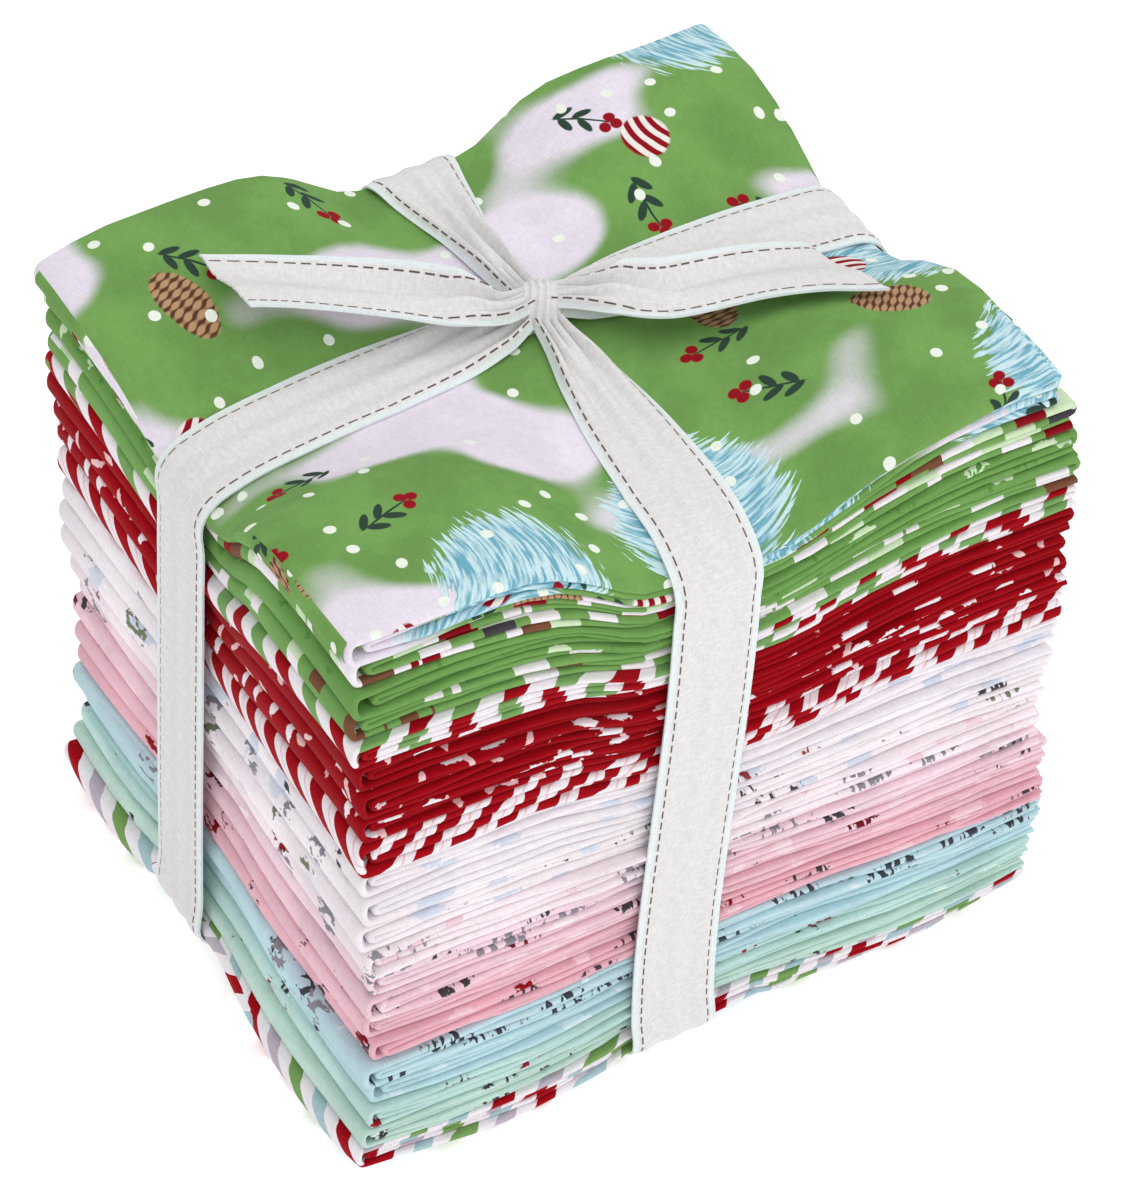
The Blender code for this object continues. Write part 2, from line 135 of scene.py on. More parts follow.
Share = namedtuple("Share", "place share")
SHARE_X = tuple(
    Share(*row) for row in ((-71, 1), (-34, 0.12), (-8.5, 0), (11.5, 0), (44, 0.2), (71, 1))
)
SHARE_Y = tuple(
    Share(*row) for row in ((-58, 1), (-46, 0.4), (-2, 0), (18, 0), (46, 0.4), (58, 1))
)

# Where every packet is followed along X and along Y, in millimetres. All share these places, with
# one at each edge of the ribbon's lanes, so that neighbouring layers bend alike and stay apart.
STATIONS_X = (
    *(-64, -57, -50, -43, -37, -31, -26, -21, -17, -12.5, -8.5, -3.5),
    *(1.5, 6.5, 11.5, 15.5, 20.5, 26, 32, 39, 46, 53, 60),
)
STATIONS_Y = (-50, -41, -32, -24, -16, -9, -2, 3, 8, 13, 18, 22, 27, 34, 42, 50)

# From the top down: the sheet's node, its height in the stack and how far each side stands out, in
# millimetres, and how far the inner fold lies back from the outer one at the left.
Packet = namedtuple("Packet", "name height left right front back eye")
PACKETS = (
    Packet("01_green_winter", 6.8, 1.0, -2.0, 0.3, -0.4, 3.2),
    Packet("02_green_blocks", 6.6, -0.6, 1.0, -0.3, -1.2, 2.4),
    Packet("03_green_tonal", 6.6, -0.6, 2.5, 0.3, -1.0, 3.4),
    Packet("04_green_dashes", 6.4, -0.6, 3.2, -0.5, -0.8, 1.8),
    Packet("05_holly_stripe", 5.4, 0.4, 3.0, 0.4, -1.0, 1.6),
    Packet("06_red_pills", 6.1, -0.5, 2.5, -0.3, -0.5, 1.8),
    Packet("07_red_arcs", 6.1, -0.6, 1.6, 0.4, -1.3, 1.4),
    Packet("08_red_dots", 6.1, -0.8, 2.5, -0.2, -0.8, 1.6),
    Packet("09_candy_stripe", 7.6, -0.2, 2.0, 0.3, -1.6, 2.2),
    Packet("10_white_script", 6.4, -0.8, 1.8, -0.4, -1.4, 1.6),
    Packet("11_white_marks", 6.4, -0.5, 0.6, 0.2, -1.0, 1.8),
    Packet("12_white_sprig", 6.4, 0.0, 0.2, -0.2, -1.2, 1.5),
    Packet("13_white_rose", 6.4, -1.0, -0.6, 0.5, -2.0, 1.8),
    Packet("14_pink_pale", 5.8, -1.4, -0.3, -0.3, -2.0, 1.6),
    Packet("15_pink_marks", 5.8, -0.8, 0.7, 0.4, -1.3, 2.0),
    Packet("16_pink_dusty", 5.8, -0.8, 1.0, -0.4, -1.8, 1.4),
    Packet("17_pink_salmon", 5.8, -0.6, 1.2, 0.2, -1.6, 1.6),
    Packet("18_aqua_marks", 5.9, 0.3, 1.0, 0.4, -1.4, 2.0),
    Packet("19_aqua_plain", 5.9, -1.0, 0.4, -0.3, -2.0, 2.2),
    Packet("20_mint_figures", 5.5, -0.2, -0.5, 0.3, -1.1, 1.6),
    Packet("21_mint_plain", 5.2, 1.2, -1.1, -0.2, -0.4, 1.8),
    Packet("22_block_stripe", 5.4, 2.4, -2.0, 0.4, 0.4, 1.4),
)
STACK_HEIGHT = sum(packet.height for packet in PACKETS)

# The unevenness that all layers share: its strength, its waves' lengths and where they start, in
# millimetres but for the start.
Swell = namedtuple("Swell", "strength x y z start")
SWELLS = (Swell(0.5, 26, 26, 15, 0), Swell(0.24, 10, 11, 13, 5))

# How a band of ribbon gathers as it comes to the knot: its width, and how far it lifts off the
# cloth, in millimetres, by the distance from the end of the band.
Gather = namedtuple("Gather", "distance width rise")
FRONT_GATHER = (
    Gather(0, 5.2, 1.2),
    Gather(6, 6.6, 0.7),
    Gather(17, 11.5, 0.2),
    Gather(30, 15.4, 0),
    Gather(44, 17.3, 0),
)
BACK_GATHER = (
    Gather(0, 5.2, 1.2),
    Gather(9, 6.6, 0.6),
    Gather(21, 9, 0.2),
    Gather(32, 13.5, 0),
    Gather(42, 17.3, 0),
)
SIDE_GATHER = (Gather(0, 7, 1.2), Gather(6, 11.5, 0.4), Gather(16, 15.6, 0), Gather(30, 17.3, 0))

# How far a band strays sideways on its way round, in millimetres, from its near end at the knot (0)
# round underneath to its far end (1).
Drift = namedtuple("Drift", "part aside")
CROSSWAYS_DRIFT = (Drift(0, 1), Drift(0.14, 0), Drift(0.37, -9), Drift(0.62, -3), Drift(1, 1))
LENGTHWAYS_DRIFT = (Drift(0, 0), Drift(0.13, 0.5), Drift(0.36, 4), Drift(0.63, 1), Drift(1, 0))

# The middle line of each free tail from inside the knot to the cut end, its height over the ground,
# its width, how far its back edge is turned down and how deep it is cupped, in millimetres and
# degrees.
TailRow = namedtuple("TailRow", "part x y z width turn cup")
LEFT_TAIL = (
    TailRow(0, 1.0, 8.4, 128.7, 4.6, 0, 0),
    TailRow(1, -4.0, 7.9, 128.9, 6, 0, 0.2),
    TailRow(2, -10.5, 10.6, 129.4, 11, 7, 1.3),
    TailRow(3, -20.0, 17.0, 130.8, 14.5, 12, 1.7),
    TailRow(4, -31.0, 23.5, 133.2, 16.4, 15, 1.2),
    TailRow(5, -40.0, 28.0, 135.2, 17, 16, 0.7),
    TailRow(6, -47.0, 31.0, 136.8, 17.3, 16, 0.3),
)
RIGHT_TAIL = (
    TailRow(0, 3.9, 7.8, 128.7, 4.6, 0, 0),
    TailRow(1, 8.6, 4.9, 128.8, 6, 0, 0.3),
    TailRow(2, 14.5, 0.2, 129.0, 10, 4, 1.2),
    TailRow(3, 23.0, -3.4, 128.4, 14.5, 9, 1.3),
    TailRow(4, 36.0, -5.8, 128.8, 16.5, 13, 0.8),
    TailRow(5, 46.3, -10.4, 130.0, 17, 15, 0.5),
    TailRow(6, 52.2, -14.6, 131.0, 17.3, 16, 0.3),
)
LEFT_TAIL_CUT = -3.5
RIGHT_TAIL_CUT = 8
TAIL_ROWS = 66
TAIL_PLEATS_FADE = 16
TAIL_PLEATS = 1.5
TAIL_CUT_REACH = 12
RIBBON_COLUMNS = 33
PLEATS_AT_KNOT = 4
TALLEST_PLEAT = 12.0


def length_setting(name, description, default):
    """A setting for a length, with its default in millimetres."""
    return FloatProperty(name=name, description=description, default=default * MM, unit="LENGTH")


def colour_setting(name, description, default):
    """A setting for a colour in linear light."""
    return FloatVectorProperty(
        name=name, description=description, subtype="COLOR", default=default, min=0, max=1
    )


class ClothSizes(bpy.types.PropertyGroup):
    """How the cloth is cut and how closely it is folded."""

    thickness: length_setting("Cloth thickness", "Thickness of one layer of cotton", 0.24)
    packet_gap: length_setting(
        "Gap between packets", "Space left between two folded fat quarters", 0.26
    )
    run_gap: length_setting(
        "Gap between runs", "Space left between two runs of one folded strip", 0.15
    )
    wander: length_setting(
        "Edge wander", "How far a folded edge strays from a straight line", 1.1
    )


class RibbonSizes(bpy.types.PropertyGroup):
    """The ribbon's cut and stitching."""

    width: length_setting("Width", "Ribbon width", 17.5)
    thickness: length_setting("Thickness", "Ribbon thickness", 0.45)
    colour: colour_setting("Colour", "Colour of the tape between its edges", (0.775, 0.76, 0.755))
    stitch_colour: colour_setting(
        "Stitches", "Colour of the running stitch along both edges", (0.11, 0.075, 0.07)
    )


class StageSettings(bpy.types.PropertyGroup):
    """The floor and the light round the bundle."""

    floor_colour: colour_setting("Floor", "Colour of the floor", (1.0, 1.0, 1.0))
    world_strength: FloatProperty(
        name="Surrounding light", description="Strength of the light from all round", default=0.6
    )


# ---- The shape of the tied stack ------------------------------------------------------------


def curve_through(table, column, places):
    """A smooth curve through one column of a table, without overshoot; straight past both ends."""
    at = np.array([row[0] for row in table], float)
    value = np.array([getattr(row, column) for row in table], float)
    steep = np.diff(value) / np.diff(at)
    slope = np.empty(len(at))
    slope[0], slope[-1] = steep[0], steep[-1]
    for index in range(1, len(at) - 1):
        a, b = steep[index - 1], steep[index]
        slope[index] = 0 if a * b <= 0 else 2 * a * b / (a + b)
    places = np.asarray(places, float)
    index = np.clip(np.searchsorted(at, places) - 1, 0, len(at) - 2)
    span = at[index + 1] - at[index]
    t = np.clip((places - at[index]) / span, 0, 1)
    smooth = (
        (2 * t**3 - 3 * t**2 + 1) * value[index]
        + (t**3 - 2 * t**2 + t) * span * slope[index]
        + (3 * t**2 - 2 * t**3) * value[index + 1]
        + (t**3 - t**2) * span * slope[index + 1]
    )
    before = np.minimum(places - at[0], 0) * slope[0]
    after = np.maximum(places - at[-1], 0) * slope[-1]
    return smooth + before + after


def near_ribbon(distance, before, after):
    """1 in the ribbon's lane, and falling to 0 outside it over a reach on each side."""
    reach = np.where(distance < 0, before, after)
    return np.exp(-((np.maximum(0, np.abs(distance) - LANE_FLOOR) / reach) ** 2))


def recess(place, lane, depth):
    """How far the cloth is lifted over the ribbon that runs underneath it."""
    outside = np.maximum(lane[0] - place, place - lane[1]) / RECESS_FADE
    return depth * np.clip(1 - outside, 0, 1)


def near_edge(inward, reach):
    """1 at the plain stack's edge, falling to 0 at a reach inside it; a little over 1 outside."""
    return np.clip(1 - inward / reach, 0, 1.1) ** 2


def pressed(x, y, z):
    """Where points of the plain stack lie once the ribbon is pulled tight, all in millimetres."""
    height = np.maximum(0, z / STACK_HEIGHT)
    out_x, out_y = x / (LENGTH / 2), y / (DEPTH / 2)
    share_x = curve_through(SHARE_X, "share", x)
    share_y = curve_through(SHARE_Y, "share", y)
    rear = np.clip((out_y + 0.1) / 0.9, 0, 1)
    reach_left = REACH_LEFT + (REACH_LEFT_AT_BACK - REACH_LEFT) * rear
    reach_right = REACH_RIGHT + (REACH_RIGHT_AT_BACK - REACH_RIGHT) * rear
    lane_x = near_ribbon(x - RIBBON_X, reach_left, reach_right)
    lane_y = near_ribbon(y - RIBBON_Y, REACH_Y, REACH_Y)
    quarter = (1 - lane_x) * (1 - lane_y)
    at_ends = lane_x * share_y + lane_y * share_x
    at_corner = np.maximum(0, share_x * share_y - CORNER_START) / (1 - CORNER_START)
    rise = quarter * (QUARTER_RISE + LEAN_X * out_x + LEAN_Y * out_y) * height**3
    rise += MIDDLE_LEAN * out_x * (1 - (2 * height - 1) ** 4)
    dropped = lane_x * share_y * (y < 0) + lane_y * share_x
    rise -= (LANE_SINK * (1 - quarter) + LANE_END_DROP * dropped) * height**1.5
    low = np.maximum(0, 1 - height)
    rise += BOTTOM_LIFT * at_ends * low**6 + CORNER_CURL * at_corner * low**9
    one_ribbon = 1 + RIBBON_CLEARANCE
    dent = np.maximum(recess(x, RECESS_X, one_ribbon), recess(y, RECESS_Y, 2 * one_ribbon))
    rise += dent * np.maximum(0, 1 - z / RECESS_FELT_UP_TO)
    edge_x = near_edge(LENGTH / 2 - np.abs(x), EDGE_REACH) * np.where(x > 0, EDGE_ROUND_AT_RIGHT, 1)
    edge_y = near_edge(DEPTH / 2 - np.abs(y), EDGE_REACH) * np.where(y > 0, EDGE_ROUND_AT_BACK, 1)
    rise -= EDGE_ROUND * (np.sqrt(lane_x) * edge_y + np.sqrt(lane_y) * edge_x) * height**14
    back = np.clip((out_y - 0.2) / 0.8, 0, 1) ** 2
    rise -= BACK_DROP * back * quarter * height**4
    droop = near_edge(x + LENGTH / 2, FOLD_DROOP_REACH)
    rise -= FOLD_DROOP * droop * np.clip(out_y * 1.4, 0, 1) * quarter * height**5
    pull = PULL_BOTTOM + (PULL_TOP - PULL_BOTTOM) * height
    drawn = CORNER_DRAW * height**4 * np.clip(out_y, 0, 1) * (1 - lane_y)
    x_new = x - share_x * np.where(x > 0, pull * lane_y * PULL_AT_RIGHT + drawn, -pull * lane_y)
    y_new = y - np.sign(y) * share_y * pull * lane_x
    return x_new, y_new, z + rise


def model_shift():
    """From the plain stack's own middle to the model's origin, in millimetres."""
    low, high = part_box("ribbon_knot")
    middle = (low + high) / 2 / MM
    knot_x, knot_y = KNOT_CENTRE
    return np.array([middle.x - knot_x, middle.y - knot_y, low.z / MM - knot_base()])


def knot_base():
    """The height of the knot's underside over the ground, in millimetres."""
    spot = (*KNOT_CENTRE, STACK_HEIGHT - KNOT_MEASURED_BELOW_TOP)
    top = pressed(*(np.array([part]) for part in spot))
    return float(top[2][0]) + RIBBON_CLEARANCE


SHIFT = model_shift()


# ---- Folding a fat quarter --------------------------------------------------------------------


class FoldedLine:
    """A line that is laid straight, then round a fold, and so on, with its side and its length."""

    def __init__(self):
        self.places, self.sides, self.lengths = [], [], []

    def add(self, place, side):
        gone = math.dist(place, self.places[-1]) if self.places else 0
        if self.places and gone < 1e-9:
            return
        self.lengths.append((self.lengths[-1] if self.lengths else 0) + gone)
        self.places.append(place)
        self.sides.append(side)

    def straight(self, start, end, level, stations):
        forward = 1 if end > start else -1
        low, high = min(start, end) + 1, max(start, end) - 1
        between = sorted((place for place in stations if low < place < high), reverse=forward < 0)
        for place in (start, *between, end):
            self.add((place, level), (0, forward))

    def fold(self, centre, radius, start, turn, steps, depth=1.0):
        """Goes round a fold; a depth under 1 presses it flatter."""
        way = 1 if turn > 0 else -1
        for step in range(steps + 1):
            angle = start + turn * step / steps
            across, up = math.cos(angle), math.sin(angle)
            full = math.copysign(abs(across) ** (0.4 + 0.6 * depth), across)
            place = (centre[0] + radius * depth * full, centre[1] + radius * up)
            lean = math.hypot(full, up * depth)
            self.add(place, (-way * full / lean, -way * up * depth / lean))

    def arrays(self):
        return np.array(self.places), np.array(self.sides), np.array(self.lengths)


def strip_line(packet, base, sizes):
    """The folded strip's middle line in the XZ plane: raw end, round the outer fold at the left,
    over the top, round the fold at the right, and round the inner fold at the left to the other raw
    end. With it, the thickness of one layer of cloth with its air."""
    gap = sizes.run_gap / MM
    thick = (packet.height - sizes.packet_gap / MM - 3 * gap) / 4
    pitch = thick + gap
    level = [base + thick / 2 + run * pitch for run in range(4)]
    left = -LENGTH / 2 - packet.left
    right = LENGTH / 2 + packet.right
    roll = 1.5 * pitch
    outer_x = left + roll * OUTER_FOLD_DEPTH + thick / 2
    inner_x = outer_x + packet.eye
    turn_x = right - pitch / 2 - thick / 2
    middle = (level[1] + level[2]) / 2
    line = FoldedLine()
    line.straight(right - 0.6, outer_x, level[0], STATIONS_X)
    line.fold((outer_x, middle), roll, -math.pi / 2, -math.pi, 12, OUTER_FOLD_DEPTH)
    line.straight(outer_x, turn_x, level[3], STATIONS_X)
    line.fold((turn_x, (level[2] + level[3]) / 2), pitch / 2, math.pi / 2, -math.pi, 4)
    line.straight(turn_x, inner_x, level[2], STATIONS_X)
    line.fold((inner_x, middle), pitch / 2, math.pi / 2, math.pi, 4)
    line.straight(inner_x, right - 1.2, level[1], STATIONS_X)
    return line, thick / 4


def layer_line(packet, layer):
    """The cloth's line across the strip, in (y, offset from the strip's middle): raw edge at the
    back, outer fold at the front, fold at the back, inner fold at the front, and raw edge at the
    back again."""
    front = -DEPTH / 2 - packet.front
    back = DEPTH / 2 + packet.back
    outer_y = front + 2 * layer
    inner_y = outer_y + 0.5
    turn_y = back - layer
    line = FoldedLine()
    line.straight(back - 0.8, outer_y, -1.5 * layer, STATIONS_Y)
    line.fold((outer_y, 0), 1.5 * layer, -math.pi / 2, -math.pi, 6)
    line.straight(outer_y, turn_y, 1.5 * layer, STATIONS_Y)
    line.fold((turn_y, layer), 0.5 * layer, math.pi / 2, -math.pi, 4)
    line.straight(turn_y, inner_y, 0.5 * layer, STATIONS_Y)
    line.fold((inner_y, 0), 0.5 * layer, math.pi / 2, math.pi, 3)
    line.straight(inner_y, back - 1.6, -0.5 * layer, STATIONS_Y)
    return line


def ripple(values, period, seed):
    """A smooth wander between about -1 and 1 along the values."""
    rows = ((value / period, seed * 7.31, 0.5) for value in values)
    return np.array([noise.noise(Vector(row)) * 1.6 for row in rows])


def near_end(place, end, reach):
    """1 at an end, fading to 0 within a reach of it."""
    return np.clip(1 - np.abs(place - end) / reach, 0, 1) ** 2


def relief(x, y, z):
    """The slow unevenness that all the layers share, in millimetres."""
    values = [
        sum(
            swell.strength
            * noise.noise(Vector((px / swell.x, py / swell.y, pz / swell.z + swell.start)))
            for swell in SWELLS
        )
        for px, py, pz in np.stack([x.ravel(), y.ravel(), z.ravel()], 1)
    ]
    lane_x = near_ribbon(x - RIBBON_X, REACH_LEFT, REACH_RIGHT)
    lane_y = near_ribbon(y - RIBBON_Y, REACH_Y, REACH_Y)
    return np.array(values).reshape(x.shape) * (1 - np.maximum(lane_x, lane_y))


def fat_quarter_points(packet, seed, base, sizes):
    """The sheet's points on a grid, and their flat places on the cloth, both in metres."""
    line, layer = strip_line(packet, base, sizes)
    across = layer_line(packet, layer)
    strip, side, along = line.arrays()
    cloth, _, over = across.arrays()
    x, z = (strip[:, axis, None] + side[:, axis, None] * cloth[None, :, 1] for axis in range(2))
    y = np.broadcast_to(cloth[None, :, 0], x.shape).copy()
    wander = sizes.wander / MM
    front = -DEPTH / 2 - packet.front
    stray = 0.85 * ripple(along, 34, seed) + 0.3 * ripple(along, 11, seed + 9)
    y += wander * stray[:, None] * near_end(y, front, WANDER_REACH)
    y += wander * ripple(along, 38, seed + 40)[:, None] * near_end(y, DEPTH / 2, WANDER_REACH)
    left, right = -LENGTH / 2 - packet.left, LENGTH / 2 + packet.right
    x += 0.7 * wander * ripple(over, 45, seed + 80)[None, :] * near_end(x, left, WANDER_REACH)
    x += wander * ripple(over, 33, seed + 120)[None, :] * near_end(x, right, WANDER_REACH_RIGHT)
    x, y, z = pressed(x, y, z)
    z = z + relief(x, y, z) * np.clip(z / 8, 0, 1)
    points = (np.stack([x, y, z], -1) + SHIFT) * MM
    flat = np.stack(np.meshgrid(along * MM, over * MM, indexing="ij"), -1)
    return points, flat


def grid_sheet(name, points, flat):
    """A mesh object from a grid of points, with the flat places as its UV map. Seen from above,
    every face starts at a corner that splits it the same way, so that folded layers nest."""
    rows, columns = points.shape[:2]
    index = np.arange(rows * columns).reshape(rows, columns)
    corners = np.stack((index[:-1, :-1], index[1:, :-1], index[1:, 1:], index[:-1, 1:]), -1)
    mirrored = np.diff(points[:, :-1, 0], axis=0) * np.diff(points[:-1, :, 1], axis=1) < 0
    faces = np.where(mirrored[..., None], np.roll(corners, -1, axis=-1), corners).reshape(-1, 4)
    mesh = bpy.data.meshes.new(name)
    mesh.from_pydata(points.reshape(-1, 3).tolist(), [], faces.tolist())
    places = mesh.uv_layers.new(name="Flat cloth")
    places.data.foreach_set("uv", flat.reshape(-1, 2)[faces.ravel()].ravel().astype(np.float32))
    piece = bpy.data.objects.new(name, mesh)
    bpy.context.scene.collection.objects.link(piece)
    return piece


def thicken(piece, thickness):
    """Gives a sheet its thickness evenly on both sides and shades it smooth."""
    select_only(piece)
    shell = piece.modifiers.new("Thickness", "SOLIDIFY")
    shell.thickness = thickness
    shell.offset = 0
    bpy.ops.object.modifier_apply(modifier=shell.name)
    bpy.ops.object.shade_smooth_by_angle(angle=math.radians(55))
    return piece


def select_only(piece):
    bpy.ops.object.select_all(action="DESELECT")
    piece.select_set(True)
    bpy.context.view_layer.objects.active = piece


CLOTH_POINTS = []


def gone_along(line):
    """How far along a line each of its points is."""
    return np.concatenate([[0], np.cumsum(np.linalg.norm(np.diff(line, axis=0), axis=1))])


def unit(vectors):
    return vectors / np.linalg.norm(vectors, axis=1)[:, None]


def outward_of(along):
    """The directions that point out of an anticlockwise line."""
    return np.stack([along[:, 1], -along[:, 0]], 1)


def evened(values, times):
    """A ring of values or points, averaged with their neighbours a number of times."""
    for _ in range(times):
        values = (np.roll(values, 1, 0) + 2 * values + np.roll(values, -1, 0)) / 4
    return values


def hull(points):
    """The outline of a taut band round the points, anticlockwise."""
    ordered = sorted(set((round(a, 3), round(b, 3)) for a, b in points))
    halves = []
    for run in (ordered, ordered[::-1]):
        chain = []
        for point in run:
            while len(chain) > 1 and not turns_left(chain[-2], chain[-1], point):
                chain.pop()
            chain.append(point)
        halves.append(chain[:-1])
    return np.array(halves[0] + halves[1])


def turns_left(first, second, third):
    on_x, on_y = second[0] - first[0], second[1] - first[1]
    to_x, to_y = third[0] - first[0], third[1] - first[1]
    return on_x * to_y > on_y * to_x


def resampled(line, step):
    """A line's points at even distances, and those distances."""
    gone = gone_along(line)
    at = np.linspace(0, gone[-1], max(2, round(gone[-1] / step)) + 1)
    return np.stack([np.interp(at, gone, column) for column in line.T], 1), at


def taut_route(along_y, offset):
    """The route of a band round the stack, as (across, up), from inside the knot's near side down,
    round underneath and back into its far side."""
    side, across = (0, 1) if along_y else (1, 0)
    lane = (RIBBON_X, RIBBON_Y)[side]
    below = (RECESS_X, RECESS_Y)[side]
    cloth = np.concatenate(CLOTH_POINTS)
    place = cloth[:, side]
    upper = cloth[:, 2] > STACK_HEIGHT / 3
    high = (np.abs(place - lane) < LANE_HALF + LANE_MARGIN) & upper
    low = (place > below[0] - LANE_MARGIN) & (place < below[1] + LANE_MARGIN) & ~upper
    outline = hull(cloth[high | low][:, (across, 2)])
    ring, _ = resampled(np.concatenate([outline, outline[:1]]), 1.0)
    ring = evened(ring[:-1], 12)
    along = unit(np.roll(ring, -1, 0) - np.roll(ring, 1, 0))
    outward = outward_of(along)
    ring = ring + outward * (offset + still_outside(ring, along, outward, outline))[:, None]
    knot_at = KNOT_CENTRE[across]
    half_knot = KNOT_SIZE[across] / 2
    clear = half_knot + CLEAR_OF_KNOT
    near = np.flatnonzero((ring[:, 1] > STACK_HEIGHT / 2) & (ring[:, 0] < knot_at - clear))
    ring = np.roll(ring, -near[ring[near, 0].argmax()], 0)
    far = np.flatnonzero((ring[:, 1] > STACK_HEIGHT / 2) & (ring[:, 0] > knot_at + clear))
    inside = (CROSSWAYS_INSIDE_KNOT if along_y else LENGTHWAYS_INSIDE_KNOT) * half_knot
    start, end = ((x, knot_base() + BAND_END_RISE) for x in (knot_at - inside, knot_at + inside))
    return np.concatenate([[start], ring[: far[-1] + 1], [end]])


def still_outside(ring, along, outward, outline):
    """How far each point of the smoothed ring moves out to keep the whole outline inside it."""
    dense, _ = resampled(np.concatenate([outline, outline[:1]]), 0.5)
    apart = dense[None, :, :] - ring[:, None, :]
    beside = np.abs((apart * along[:, None, :]).sum(2)) < 2.2
    push = np.where(beside, (apart * outward[:, None, :]).sum(2), 0).max(1)
    push = np.maximum(push, 0)
    return evened(np.maximum.reduce([np.roll(push, shift) for shift in range(-3, 4)]), 4)


def pleated(widths, far_pleats, gathered, full):
    """Cross-sections of a ribbon that is gathered to each of the widths: places across and up."""
    s = np.linspace(-1, 1, RIBBON_COLUMNS)[None, :]
    near, far = (
        (1 - np.cos(math.pi * count * (s + 1))) / 2 for count in (PLEATS_AT_KNOT, far_pleats)
    )
    share = gathered[:, None]
    shape = share * near + (1 - share) * far
    across = widths[:, None] / 2 * s
    low, high = np.zeros(len(widths)), np.full(len(widths), TALLEST_PLEAT)
    for _ in range(22):
        tall = (low + high) / 2
        up = shape * tall[:, None]
        length = np.hypot(np.diff(across, axis=1), np.diff(up, axis=1)).sum(1)
        low, high = np.where(length < full, tall, low), np.where(length < full, high, tall)
    return across, shape * low[:, None]


def tucked(widths, folds, depth, columns, full):
    """Cross-sections of a ribbon that shows each of the widths, in shallow folds, and has what is
    left of it turned under at both edges: places across and up."""
    s = np.linspace(-1, 1, 61)
    bend = np.radians(np.linspace(80, -90, 9))
    sections = []
    for number, wide in enumerate(widths):
        stray = 0.5 * math.sin(number * 0.21)
        crease = depth * np.cos(math.pi * folds * (s + 0.12 * stray)) * (1 - s**4)
        face = np.stack([wide / 2 * s, crease], 1)
        shown = np.linalg.norm(np.diff(face, axis=0), axis=1).sum()
        under = (full - shown - 2 * math.pi * TUCK_RADIUS) / 2
        edge_up = TUCK_RADIUS * (np.sin(bend) - 1)
        edge = np.stack([wide / 2 + TUCK_RADIUS * np.cos(bend), edge_up], 1)
        end = np.array([[wide / 2 - under, -2 * TUCK_RADIUS]])
        right = np.concatenate([edge, end])
        left = right[::-1] * (-1, 1)
        line = np.concatenate([left, face, right])
        gone = gone_along(line)
        at = np.linspace(0, gone[-1], columns)
        sections.append([np.interp(at, gone, column) for column in line.T])
    return np.array(sections).swapaxes(0, 1)


def laid_strip(centres, sideways, outward, across, up):
    """Points of a strip from its middle line, its two directions and its cross-sections."""
    return (
        centres[:, None, :]
        + sideways[:, None, :] * across[:, :, None]
        + outward[:, None, :] * up[:, :, None]
    )


def ribbon_piece(name, points, lengths, width, thickness):
    """A piece of ribbon from its points in millimetres, with its flat places, and its flat size."""
    rows, columns = points.shape[:2]
    over = np.linspace(-width / 2, width / 2, columns)
    flat = np.stack(np.meshgrid(lengths, over, indexing="ij"), -1) * MM
    piece = thicken(grid_sheet(name, (points + SHIFT) * MM, flat), thickness * MM)
    return piece, (width * MM, float(lengths[-1] - lengths[0]) * MM)


def band_of_ribbon(name, along_y, near_gather, far_gather, drift, sizes):
    """One taut band round the stack, pleated beside the knot."""
    width, thickness = sizes.width / MM, sizes.thickness / MM
    route, lengths = resampled(taut_route(along_y, BAND_GAP + thickness / 2), BAND_STEP)
    outward = outward_of(unit(np.gradient(route, axis=0)))
    back = lengths[-1] - lengths
    ends = ((near_gather, lengths), (far_gather, back))
    widths = np.minimum(*(curve_through(gather, "width", gone) for gather, gone in ends))
    widths = np.clip(widths, BAND_NARROWEST, near_gather[-1].width)
    rises = np.maximum(*(curve_through(gather, "rise", gone) for gather, gone in ends))
    route = route + outward * np.maximum(rises, 0)[:, None]
    aside = curve_through(drift, "aside", lengths / lengths[-1])
    near = np.clip(1 - np.minimum(lengths, back) / BAND_PLEATS_FADE, 0, 1)
    across, up = pleated(widths, BAND_PLEATS, near, width)
    axis, lane, way = (0, RIBBON_X, 1) if along_y else (1, RIBBON_Y, -1)
    centres = np.insert(route, axis, lane + aside, axis=1)
    outward = np.insert(outward, axis, 0, axis=1)
    sideways = np.zeros_like(centres)
    sideways[:, axis] = way
    points = laid_strip(centres, sideways, outward, across, up)
    return ribbon_piece(name, points, lengths, width, thickness)


def facing(vectors, axis):
    """The vectors, turned round where they point backwards along an axis."""
    return vectors * np.where(vectors[:, axis] < 0, -1, 1)[:, None]


